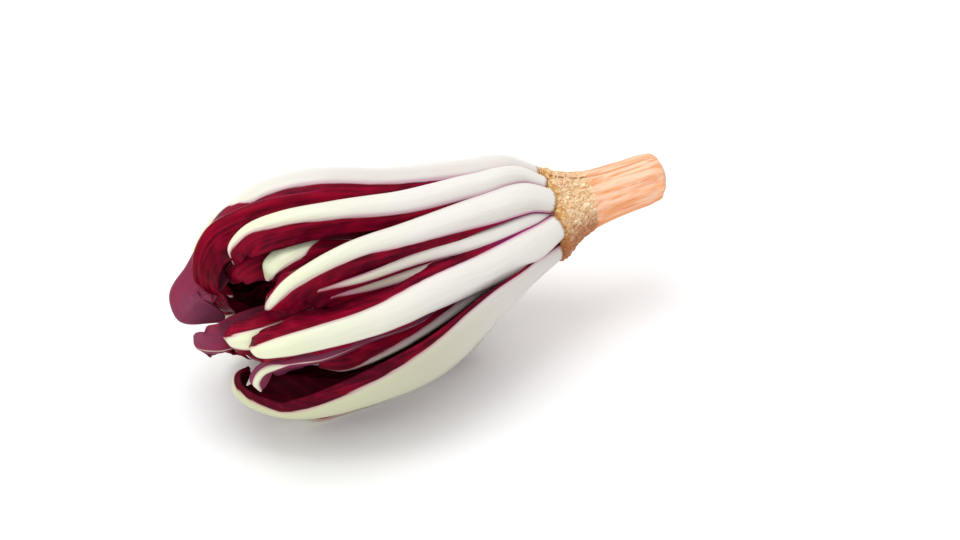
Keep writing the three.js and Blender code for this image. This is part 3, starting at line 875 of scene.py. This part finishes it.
@dataclass(frozen=True)
class RootFinish:
    """The scraped taproot: pinkish tan with orange streaks, under a rough golden crust of leaf scars."""

    flesh: Colour = (0.80, 0.33, 0.14)
    blush_and_lit_top: Colour = (0.90, 0.56, 0.38)
    orange: Colour = (0.78, 0.18, 0.03)
    brown: Colour = (0.40, 0.12, 0.03)
    crust: Colour = (0.70, 0.42, 0.20)
    crust_pale: Colour = (0.92, 0.74, 0.49)
    pit: Colour = (0.24, 0.11, 0.04)
    gold: Colour = (0.60, 0.28, 0.045)
    underside_shade: Colour = (0.36, 0.10, 0.03)
    core: Colour = (0.78, 0.60, 0.38)
    end_radius: float = 6.6
    relief: float = 0.6
    relief_m: float = 0.0006

    def build(self) -> Material:
        """Makes the material.

        Returns:
            The material, which reads what the sweeps store.
        """
        made, b = new_material("scraped root")
        along, around, radius = map(b.attribute, ("along_mm", "around", "radius_mm"))
        crusty, flake, cut_end = map(b.attribute, ("crusty", "flake", "cut_end"))
        cosine = b.math("COSINE", around)
        east, north = cosine * radius, b.math("SINE", around) * radius
        ring, place = b.join(east, north, along * 0.09), b.join(east, north, along)
        streak = b.noise(ring, 0.42, 4.0, 0.6)
        hair = b.noise(ring, 1.7, 3.0)
        speck = b.noise(place, 0.85, 4.0, 0.65)
        grit = b.noise(place, 2.3, 3.0, 0.6)

        # Blush follows random streaks, and painted light makes the top of the root lighter and pinker.
        flesh = b.blend(b.smooth(0.4, 0.68, streak + cosine * 0.12), self.flesh, self.blush_and_lit_top)
        flesh = b.blend(b.smooth(0.52, 0.72, b.noise(ring, 0.75, 3.0)) * 0.75, flesh, self.orange)
        flesh = b.blend(b.smooth(0.62, 0.78, hair) * 0.45, flesh, self.brown)
        crust = b.blend(b.smooth(0.45, 0.62, speck), self.crust, self.crust_pale)
        crust = b.blend(1.0 - b.smooth(0.30, 0.42, grit), crust, self.pit)
        crust = b.blend(b.smooth(0.55, 0.7, b.noise(place, 1.4, 2.0)) * 0.6, crust, self.orange)
        crust = b.blend((1.0 - b.smooth(-1.0, 3.5, along + speck * 2.0)) * 0.8, crust, self.gold)
        crust = b.blend(flake * 0.35, crust, self.crust_pale)
        # Painted shade: the crust turns darker orange-brown on its underside.
        beneath = 1.0 - b.smooth(-0.1, 0.6, cosine + (speck - 0.5) * 0.8)
        crust = b.blend(beneath * 0.8, crust, self.underside_shade)
        skin = b.blend(b.smooth(0.35, 0.65, crusty + (speck - 0.5) * 0.9), flesh, crust)
        rings = b.math("SINE", radius * 2.3 + speck * 4.0) * 0.5 + 0.5
        end = b.blend(rings * 0.4, self.core, self.orange)
        end = b.blend(b.smooth(0.75, 1.0, radius / self.end_radius), end, self.brown)
        height = grit * crusty * 1.4 + hair * 0.5 + speck * 0.5
        sockets = {
            "Base Color": b.blend(cut_end, skin, end), "Roughness": 0.55 + crusty * 0.25,
            "Normal": b.bump(height, self.relief, self.relief_m), "Specular IOR Level": 0.3,
        }
        surface(b, sockets)
        return made


@dataclass(frozen=True)
class FloorFinish:
    """A plain pale floor with the faintest mottle."""

    paper: Colour = (0.95, 0.95, 0.95)
    shade: Colour = (0.925, 0.925, 0.93)

    def build(self) -> Material:
        """Makes the material."""
        made, b = new_material("pale floor")
        mottle = b.noise(b.take("ShaderNodeTexCoord", None, None, "Object"), 3.0, 2.0)
        surface(b, {"Base Color": b.blend(mottle, self.paper, self.shade), "Roughness": 0.7})
        return made


# ---- sub-assemblies ----


@dataclass(frozen=True)
class TurnedSweep:
    """Geometry Nodes that turn a lobed round body about a line, and dot part of it with flakes."""

    lobe: float = 0.035
    ripple: float = 0.02
    facet: float = 0.055

    def build(self) -> Bench:
        """Makes the tree, which reads what a body's carrier stores.

        Returns:
            The tree's bench.
        """
        whole = ("Rows", "Columns", "Seed")
        numbers = ("Roughness", "Facets", "Flakes per square metre", "Flake size")
        inputs = {"Int": whole, "Float": numbers, "Material": ("Finish",)}
        b, given = Workshop.group("turned body", inputs)
        line, columns, seed = given["Geometry"], given["Columns"], given["Seed"]
        sheet, row, col = b.grid(given["Rows"], columns + 1.0)
        around = col / columns * math.tau
        names = ("along", "radius", "shape", "crusty", "cut_end")
        along, radius, shape, crusty, cut_end = (b.station(line, row, n) for n in names)

        cosine, sine = b.math("COSINE", around), b.math("SINE", around)
        lobes = b.math("COSINE", around * 3.0 + 0.6) * self.lobe
        lobes = lobes + b.math("COSINE", around * 7.0 + along * 0.05) * self.ripple
        bent = b.math("SINE", along * 0.09) * 0.25
        strip = b.math("FRACT", around * given["Facets"] / math.tau + bent)
        shaved = b.math("ABSOLUTE", strip * 2.0 - 1.0) ** 2.0 * self.facet
        east, north = cosine * radius, sine * radius
        ring, drawn = b.join(east, north, along), b.join(east, north, along * 0.08)
        rough = crusty * given["Roughness"]
        lumps = (b.noise(ring, 0.38, 4.0, 0.6) - 0.5) * rough
        pits = (b.noise(ring, 1.1, 3.0, 0.6) - 0.5) * rough * 0.55
        grooves = (b.noise(drawn, 0.6, 3.0) - 0.5) * shape * 0.9
        reach = radius * (1.0 + shape * (lobes + (shaved - 0.02) * (1.0 - crusty)))
        reach = reach + (lumps + pits + grooves) * b.smooth(0.0, 3.0, radius)
        centre = b.station(line, row, "position", POINT_VECTOR)
        place = centre + b.join(0.0, sine * reach * -1.0, cosine * reach)
        sockets = {"Geometry": sheet, "Position": place * MM}
        sheet = b.take("GeometryNodeSetPosition", None, sockets)
        carried = {
            "along_mm": along, "around": around, "radius_mm": reach, "crusty": crusty, "cut_end": cut_end,
            "flake": 0.0,
        }
        sheet = b.take("GeometryNodeFlipFaces", None, {"Mesh": b.store(sheet, carried)})

        sockets = {"Name": "crusty"}
        where = b.take("GeometryNodeInputNamedAttribute", {"data_type": "FLOAT"}, sockets)
        density = given["Flakes per square metre"] * b.smooth(0.3, 0.9, where)
        sockets = {"Mesh": sheet, "Density": density, "Seed": seed}
        dots = b.node("GeometryNodeDistributePointsOnFaces", None, sockets)
        size = given["Flake size"]
        low = b.join(size * 0.5, size * 0.25, size * 0.12)
        high = b.join(size * 1.6, size * 0.8, size * 0.4)
        spread = {"Min": low, "Max": high, "Seed": seed}
        sockets = {
            "Points": b.wire(dots, "Points"),
            "Instance": b.take("GeometryNodeMeshIcoSphere", None, {"Radius": 1.0, "Subdivisions": 2}),
            "Rotation": b.wire(dots, "Rotation"),
            "Scale": b.take("FunctionNodeRandomValue", {"data_type": "FLOAT_VECTOR"}, spread, "Value"),
        }
        flakes = b.take("GeometryNodeInstanceOnPoints", None, sockets)
        flakes = b.take("GeometryNodeRealizeInstances", None, {"Geometry": flakes})
        flakes = b.store(flakes, {"flake": 1.0})
        both = b.node("GeometryNodeJoinGeometry")
        for part in (flakes, sheet):
            b.tree.links.new(part.socket, both.inputs[0])
        Workshop.close(b, b.wire(both), given["Finish"])
        return b


@dataclass(frozen=True)
class Taproot:
    """The trimmed root and the crown that the leaves grow from.

    Each span is from, to and a number of rows. The cut end is a distance, a radius and its rows.
    """

    profile_d: Row = (-9.5, -7.5, -4.1, -3.9, -2.5, -0.5, 3, 8.5, 16, 28, 38, 41, 42)
    profile_r: Row = (0, 3, 6.5, 11, 15.8, 16.8, 14.9, 12.1, 10.2, 9.2, 8.6, 7.4, 5.2)
    shoulder: int = 4
    spans: tuple[tuple[float, float, int], ...] = ((-9.5, -4.1, 9), (-3.9, 41, 100), (41.2, 42, 5))
    cut: tuple[float, float, int] = (42.6, 4.6, 7)
    rise: float = 0.12
    columns: int = 144
    crust_end: float = 15.0
    rough_mm: float = 1.5
    facets: float = 9.0
    flakes: float = 500000.0
    flake_size: float = 0.0009
    seed: int = 7

    def build(self, body: Bench, finish: Material) -> Object:
        """Turns the root and its crust.

        Args:
            body: The turned body.
            finish: The root's material.

        Returns:
            The root's object, with a plain mesh.
        """
        cut_d, cut_r, cut_rows = self.cut
        d = np.concatenate([np.linspace(*span) for span in self.spans] + [np.full(cut_rows, cut_d)])
        rim = self.profile_d[self.shoulder]
        smooth_d, smooth_r = self.profile_d[self.shoulder :], self.profile_r[self.shoulder :]
        soft = curve(smooth_d, smooth_r, np.clip(d, rim, smooth_d[-1]))
        r = np.where(d > rim, soft, np.interp(d, self.profile_d, self.profile_r))
        r[-cut_rows:] = np.linspace(cut_r, 0, cut_rows)
        points = FORM.centre(0.0) + np.stack([d, np.zeros_like(d), self.rise * np.maximum(d, 0)], 1)
        end = np.zeros_like(d)
        end[-cut_rows:] = 1
        crust = 1 - smooth(self.crust_end - 6, self.crust_end + 3, d)
        columns = {
            "along": d, "radius": r, "shape": smooth(rim + 0.5, rim + 2, d) * (1 - end),
            "crusty": smooth(rim - 2, rim + 1, d) * crust, "cut_end": end,
        }
        values = {
            "Rows": len(d), "Columns": self.columns, "Roughness": self.rough_mm, "Facets": self.facets,
            "Flakes per square metre": self.flakes, "Flake size": self.flake_size, "Seed": self.seed,
            "Finish": finish,
        }
        return Workshop.bake(Workshop.carrier("trimmed_taproot", points, columns), body, values)


@dataclass(frozen=True)
class Heart:
    """The innermost leaves, with the short core that they stand out of.

    Each plan is a leaf's reach, bearing and hook.
    """

    plans: tuple = ((102, 136, 4), (107, 188, 5), (101, 238, 4), (106, 288, 5), (100, 332, 4))
    depth: float = 18
    scale: float = 1.2
    phases: tuple[float, float] = (0.4, 0.17)
    leaf_grid: tuple[int, int] = (90, 31)
    core_s: Row = (3, 10, 25, 45, 65, 84, 95, 100)
    core_r: Row = (3.2, 4, 6.2, 9, 11, 11, 7.5, 0)
    core_grid: tuple[int, int] = (60, 60)
    core_lobes: tuple[float, float] = (3.0, 5.0)
    core_t: float = 120.0

    def build(self, sweep: Bench, body: Bench, finish: Material) -> Object:
        """Builds the heart.

        Args:
            sweep: The leaf sweep.
            body: The turned body.
            finish: The leaf material.

        Returns:
            The heart's object, with a plain mesh.
        """
        rows, columns = self.leaf_grid
        parts = []
        for i, (tip, bearing, hook) in enumerate(self.plans):
            path = FORM.crest(self.depth, tip, bearing, hook)
            phase = self.phases[1] * i + self.phases[0]
            leaf = Leaf(f"heart_{i}", INNER, path, self.scale, phase=phase, rows=rows, columns=columns)
            parts.append(leaf.build(sweep, finish))
        return Workshop.merge("heart_leaves", [*parts, self.core(body, finish)])

    def core(self, body: Bench, finish: Material) -> Object:
        """Turns the core.

        Args:
            body: The turned body.
            finish: The leaf material.

        Returns:
            The core's object, with a plain mesh that carries what the leaf finish reads.
        """
        rows, columns = self.core_grid
        start, end = self.core_s[0], self.core_s[-1]
        shape, facets = self.core_lobes
        s = np.linspace(end, start, rows)
        r = curve(self.core_s, self.core_r, s)
        r[0] = 0
        s, r = np.append(s, float(start)), np.append(r, 0.0)
        plain = np.zeros_like(s)
        lobed = smooth(3, 12, s) * shape
        held = {"along": s, "radius": r, "shape": lobed, "crusty": plain, "cut_end": plain}
        values = {
            "Rows": len(s), "Columns": columns, "Roughness": 0.0, "Facets": facets,
            "Flakes per square metre": 0.0, "Flake size": 0.001, "Seed": 3, "Finish": finish,
        }
        made = Workshop.bake(Workshop.carrier("core", FORM.centre(s), held), body, values)
        self._wine(made)
        return made

    def _wine(self, core: Object) -> None:
        """Gives the core's points what the leaf finish reads, so that it is wine red all over.

        Args:
            core: The core, as the turned body leaves it.
        """
        layers, count = core.data.attributes, len(core.data.vertices)
        along, around = np.zeros(count, np.float32), np.zeros(count, np.float32)
        layers["along_mm"].data.foreach_get("value", along)
        layers["around"].data.foreach_get("value", around)
        fills = dict.fromkeys(("inside", "rim", "low_side", "flush", "shade", "vein"), np.zeros(count))
        fills["blade_mm"] = np.full(count, 3.0)
        fills["bare_mm"] = 3 + 3 * np.cos(5 * around)
        fills["across_mm"] = around * 8
        fills["leaf_t"] = along / self.core_t
        fills["tone"] = np.full(count, 0.4)
        fills["dusk"] = np.full(count, 0.1)
        for name, values in fills.items():
            layer = layers.new(name, "FLOAT", "POINT")
            layer.data.foreach_set("value", values.astype(np.float32))


# Every leaf outside the heart, from the outside in. A shade value paints shade on a rib, and a flush
# below 0 paints shade on a leaf that lies underneath.
LEAVES: tuple[Leaf, ...] = (
    Leaf(
        "leaf_keel", OUTER,
        ((1.5, 17, 118), (12, 22.5, 115.5), (30, 31.5, 105.5), (57, 41, 104.5), (80, 44, 110),
         (100, 41.5, 120), (112, 37, 127), (122.5, 29.5, 127), (125, 24, 126), (123, 19, 125),
         (117.5, 17.5, 124)),
        rib=(1.3, 2.35, 2.4, 1.9), lo=(0.3, 0.3, 0.55, 0.35), hi=(1, 1, 1.1, 2), roll=(0, -6, -12, -10),
        flush=-1.0, shade=(0.22, 0.18, 0.05, 0), phase=0.9, ruffle=0.25,
    ),
    Leaf(
        "leaf_flank", OUTER,
        ((1.5, 17, 66), (12, 23, 73), (30, 29.5, 70.5), (57, 38, 62), (80, 42, 65.5), (100, 41, 66.5),
         (111, 38, 67.5), (118.5, 31, 71.5), (119, 23, 73.5)),
        rib=(1, 1.05, 1.1, 1.1), lo=(0.6, 0.6, 1.2, 0.8), hi=(0.4, 0.4, 0.4, 0.6), roll=(0, 0, 6, 8),
        phase=0.7,
    ),
    Leaf(
        "leaf_front", OUTER,
        ((1.5, 17, 31), (12, 23, 26.5), (30, 29.5, 26), (57, 38, 25), (80, 42, 29), (95, 41.5, 33.5),
         (105, 39, 38), (111.5, 32.5, 45.5), (111, 25, 47)),
        rib=(0.95, 0.9, 0.75, 0.6), lo=0.6, hi=(0.5, 0.4, 1.6, 1.6), roll=(0, 6, 12, 12), flush=1.0,
        phase=0.5,
    ),
    Leaf(
        "leaf_brow", OUTER,
        ((1.5, 17, 3), (12, 23.5, -0.5), (30, 30, 4), (57, 38.5, 6), (80, 42, 6), (100, 41.5, 3),
         (111, 37, -1), (117, 30.5, 0), (116, 24, 2)),
        rib=(0.55, 0.8, 0.9, 0.6), lo=0.5, hi=(0.8, 0.8, 0.75, 1.4), flush=0.5, phase=0.3, ruffle=0.3,
    ),
    Leaf(
        "leaf_crest", OUTER,
        ((1.5, 18, -27.5), (12, 24, -27), (30, 29, -28), (55, 37.5, -28), (80, 43, -30), (99, 42, -33),
         (111, 37.5, -34), (120, 29.5, -40), (128.5, 20.5, -43), (136.5, 12, -44), (135.5, 2.5, -45),
         (121, -1, -44)),
        rib=(0.95, 1.3, 1.4, 0.9), lo=0.7, hi=(1.2, 1.2, 1.3, 2.3), pale=(-1, -0.5, 0.60, 0.68),
        dusk=(0, 0, 0.2, 1.2), phase=0.1,
    ),
    Leaf(
        "leaf_rest", OUTER,
        ((1.5, 17.5, 178), (12, 25, 179), (23, 35, 180), (32.5, 44, 180.5), (44, 43.5, 181),
         (62, 41.5, 180), (76, 41, 178.5), (90, 41, 177), (103, 39.5, 175), (111, 34, 174),
         (113.5, 26.5, 173)),
        rib=(1.2, 2, 2, 1.4), flush=-1.0, shade=(0.2, 0.2, 0.1, 0.1), phase=0.15,
    ),
    Leaf("leaf_under", OUTER, FORM.crest(-3.4, 121, 214, 6, -2), rib=(1.1, 1.15, 1.2, 1.1), phase=0.45),
    Leaf("leaf_back", OUTER, FORM.crest(0, 119, 250, 8, -3), rib=(1.1, 1.15, 1.2, 1.1), phase=0.65),
    Leaf("leaf_nape", OUTER, FORM.crest(0, 125, 294, 10, 2), rib=(1.05, 1.1, 1.1, 1), phase=0.85),
    Leaf(
        "leaf_curl", MIDDLE,
        ((2, 12, -9), (14, 17, -10), (32, 23, -13), (55, 31, -17.5), (77, 37, -16.5), (98, 39.5, -15.5),
         (110, 38.5, -16), (120, 34.5, -18.5), (126, 26.5, -21.5), (128, 17.5, -24), (126, 9, -26),
         (120, 3, -28), (112, 1, -29)),
        rib=(0.8, 0.7, 0.6, 0.6), lo=(0.5, 0.5, 0.7, 0.7), hi=(1.35, 1.35, 1.35, 1.9), roll=(0, 4, 10, 14),
        pale=(0.68, 0.73, 1.0, 1.1), tint=3.0, flush=0.8, dusk=0, phase=0.2,
    ),
    Leaf(
        "leaf_slat", MIDDLE,
        ((2, 12, 48.5), (14, 20, 49.5), (32, 26.5, 46.5), (57, 33.5, 40), (80, 37, 44), (98, 35, 44.5),
         (106, 31, 47)),
        rib=(0.45, 0.6, 0.4, 0.15), lo=0.35, hi=(0.4, 0.4, 0.6, 0.9), pale=(-1, -0.5, 0.76, 0.88),
        shade=(0, 0, 0.25, 0.6), phase=0.35,
    ),
    Leaf(
        "leaf_lath", MIDDLE,
        ((2, 12, 60), (14, 18, 56), (32, 24, 51), (54.5, 30.5, 48), (76, 34, 49), (89, 33, 50),
         (97, 29, 51)),
        rib=(0.7, 0.7, 0.5, 0.3), lo=(0.6, 0.6, 0.8, 0.8), hi=(0.6, 0.6, 0.8, 0.8),
        pale=(-1, -0.5, 0.75, 0.95), shade=(0.2, 0.4, 0.55, 0.9), phase=0.55,
    ),
    Leaf(
        "leaf_streak", MIDDLE,
        ((2, 12, 92), (14, 18, 90), (32, 24.5, 87), (59, 33, 86), (78, 36, 92), (90, 34, 98), (97, 29, 101)),
        rib=(0.5, 0.4, 0.3, 0.3), pale=(-1, -0.5, 0.80, 0.9), shade=(0.4, 0.3, 0.3, 0.5), phase=0.75,
    ),
    Leaf("leaf_mid_a", MIDDLE, FORM.crest(-2.4, 108, 154, 7), flush=-1.0, shade=0.3, phase=0.05),
    Leaf("leaf_mid_b", MIDDLE, FORM.crest(8.5, 114, 192, 7), phase=0.25),
    Leaf("leaf_mid_c", MIDDLE, FORM.crest(8, 119, 229, 6), phase=0.62),
    Leaf("leaf_mid_d", MIDDLE, FORM.crest(8, 115, 271, 5), phase=0.82),
    Leaf("leaf_mid_e", MIDDLE, FORM.crest(8, 121, 317, 7), phase=0.95),
    Leaf(
        "leaf_fold", INNER,
        ((6, 9, 88), (20, 14.5, 86), (43.5, 24, 83), (61, 30, 81.5), (80, 31.5, 84), (97, 33, 86),
         (109, 31.5, 85), (116.5, 30.5, 88), (119, 30, 97), (117.5, 30, 107)),
        rib=(0.8, 0.7, 0.7, 0.8), lo=0.4, hi=(0.8, 0.8, 1.6, 2.4), pale=(0.84, 0.90, 1.5, 2.0),
        dusk=(0.7, 0.8, 0.9, 1), phase=0.12,
    ),
    Leaf(
        "leaf_roll", INNER,
        ((8, 6.5, 92), (30, 9, 94), (60, 12, 94), (90, 14, 92), (116, 13.5, 90), (126.5, 14.5, 90),
         (133.5, 10.5, 90), (133, 4.5, 90)),
        rib=(1, 0.9, 0.8, 0.5), lo=(1, 1, 1.2, 1.8), hi=(1, 1, 1.4, 2.6), pale=(-1, -0.5, 0.70, 0.80),
        ruffle=0.4, dusk=(0.1, 0.1, 0.2, 0.9), phase=0.32,
    ),
    Leaf(
        "leaf_wedge", INNER,
        ((8, 6.5, 56), (30, 12, 60), (60, 20, 65), (90, 25, 66), (109, 27, 67), (118, 26, 67),
         (124, 20.5, 69), (124.5, 14, 71)),
        rib=(1, 1.1, 1.3, 1.8), phase=0.52,
    ),
    Leaf(
        "leaf_flag", INNER,
        ((8, 6.5, 20), (22, 12, 20), (45, 19, 17), (70, 26, 14), (90, 31, 12), (100, 31, 15),
         (106.5, 27, 19), (107, 21, 21)),
        rib=(1, 1, 1.2, 2.3), pale=(0.74, 0.84, 1.5, 2.0), ruffle=0.3, phase=0.72,
    ),
    Leaf(
        "leaf_lapel", INNER,
        ((8, 6.5, -16), (20, 10, -10), (45, 15, -4), (78, 22, -0.5), (99, 27, -1), (110.5, 26.5, -2),
         (118, 21, -3), (117.5, 15, -5)),
        rib=(0.8, 0.8, 0.7, 0.7), hi=(1.3, 1.3, 1.5, 1.9), pale=(-1, -0.5, 0.3, 0.6), dusk=0.05, ruffle=0.3,
        phase=0.92,
    ),
)


@dataclass(frozen=True)
class Head:
    """The whole radicchio head."""

    leaves: tuple[Leaf, ...] = LEAVES
    heart: Heart = Heart()
    root: Taproot = Taproot()
    leaf_finish: LeafFinish = LeafFinish()
    root_finish: RootFinish = RootFinish()

    def build(self) -> None:
        """Builds every piece, puts it on the body and lets it stand for its solid."""
        sweep, body = LeafSweep().build(), TurnedSweep().build()
        skin, bark = self.leaf_finish.build(), self.root_finish.build()
        self.settle(self.root.build(body, bark), "taproot", "root")
        for leaf in self.leaves:
            made = leaf.build(sweep, skin)
            made.name = made.data.name = leaf.name.replace("leaf_", "") + "_leaf"
            self.settle(made, leaf.name, "leaf")
        self.settle(self.heart.build(sweep, body, skin), "heart", "leaf")

    @staticmethod
    def settle(made: Object, node: str, slot: str) -> None:
        """Puts a finished piece on the body in place of a solid and reports it.

        Args:
            made: The finished piece.
            node: The solid that it stands for.
            slot: Not used.
        """
        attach(made, BODY)
        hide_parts(node)
        points, faces = len(made.data.vertices), len(made.data.polygons)
        log.info("%s stands for %s: %d points, %d faces", made.name, node, points, faces)


# ---- studio ----


@dataclass(frozen=True)
class Lamp:
    """A square soft lamp: its power, width, place and the point that it aims at, in metres."""

    name: str
    watts: float
    width: float
    place: tuple[float, float, float]
    aim: tuple[float, float, float]

    def build(self) -> None:
        """Hangs the lamp."""
        data = bpy.data.lights.new(self.name, "AREA")
        data.energy, data.size = self.watts, self.width
        made = stand(self.name, data)
        made.location = self.place
        made.rotation_euler = (Vector(self.aim) - made.location).to_track_quat("-Z", "Y").to_euler()


@dataclass(frozen=True)
class Studio:
    """Floor, soft light and camera, in degrees and metres; the lens and collar are in millimetres."""

    azimuth: float = -22.0
    elevation: float = 42.0
    distance: float = 0.75
    lens: float = 80.0
    sensor: float = 36.0
    image_size: tuple[int, int] = (960, 540)
    collar: tuple[float, float, float] = (FORM.collar_x, FORM.shift_y, 45.0)
    collar_pixel: tuple[float, float] = (550.0, 214.0)
    world_light: float = 0.90
    lamps: tuple[Lamp, ...] = (
        Lamp("key", 2.8, 0.5, (-0.12, 0.12, 0.82), (0, 0, 0.04)),
        Lamp("fill", 0.9, 0.4, (-0.60, -0.30, 0.30), (-0.05, 0, 0.04)),
    )
    floor_reach: float = 4.0

    def build(self) -> None:
        """Makes the floor, the lights and the camera."""
        self.floor()
        self.light()
        self.camera()

    def floor(self) -> None:
        """A wide plain floor."""
        mesh = bpy.data.meshes.new("floor")
        corners = [(x * self.floor_reach, y * self.floor_reach, 0) for x, y in SQUARE]
        mesh.from_pydata(corners, [], [(0, 1, 2, 3)])
        mesh.materials.append(FloorFinish().build())
        stand("floor", mesh)

    def light(self) -> None:
        """A white surround and the lamps, shown without a film curve."""
        world = bpy.data.worlds.new("soft room")
        world.use_nodes = True
        ground = world.node_tree.nodes["Background"]
        ground.inputs["Color"].default_value = (1, 1, 1, 1)
        ground.inputs["Strength"].default_value = self.world_light
        bpy.context.scene.world = world
        for lamp in self.lamps:
            lamp.build()
        bpy.context.scene.view_settings.view_transform = "Standard"

    def camera(self) -> None:
        """A long lens that puts the middle of the collar on its pixel."""
        a, e = math.radians(self.azimuth), math.radians(self.elevation)
        back = Vector((math.sin(a) * math.cos(e), -math.cos(a) * math.cos(e), math.sin(e)))
        turn = (-back).to_track_quat("-Z", "Y")
        right, up = turn @ Vector((1, 0, 0)), turn @ Vector((0, 1, 0))
        scale = self.lens / self.sensor * self.image_size[0] / self.distance
        across, down = (p - n / 2 for p, n in zip(self.collar_pixel, self.image_size))
        target = Vector(self.collar) * MM - right * (across / scale) + up * (down / scale)
        data = bpy.data.cameras.new("camera")
        data.lens, data.sensor_width = self.lens, self.sensor
        made = stand("camera", data)
        made.location = target + back * self.distance
        made.rotation_mode = "QUATERNION"
        made.rotation_quaternion = turn
        bpy.context.scene.camera = made


def main() -> None:
    """Builds the head and its studio."""
    logging.basicConfig(level=logging.INFO, format="%(message)s")
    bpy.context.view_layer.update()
    Head().build()
    Studio().build()


if __name__ == "__main__":
    main()
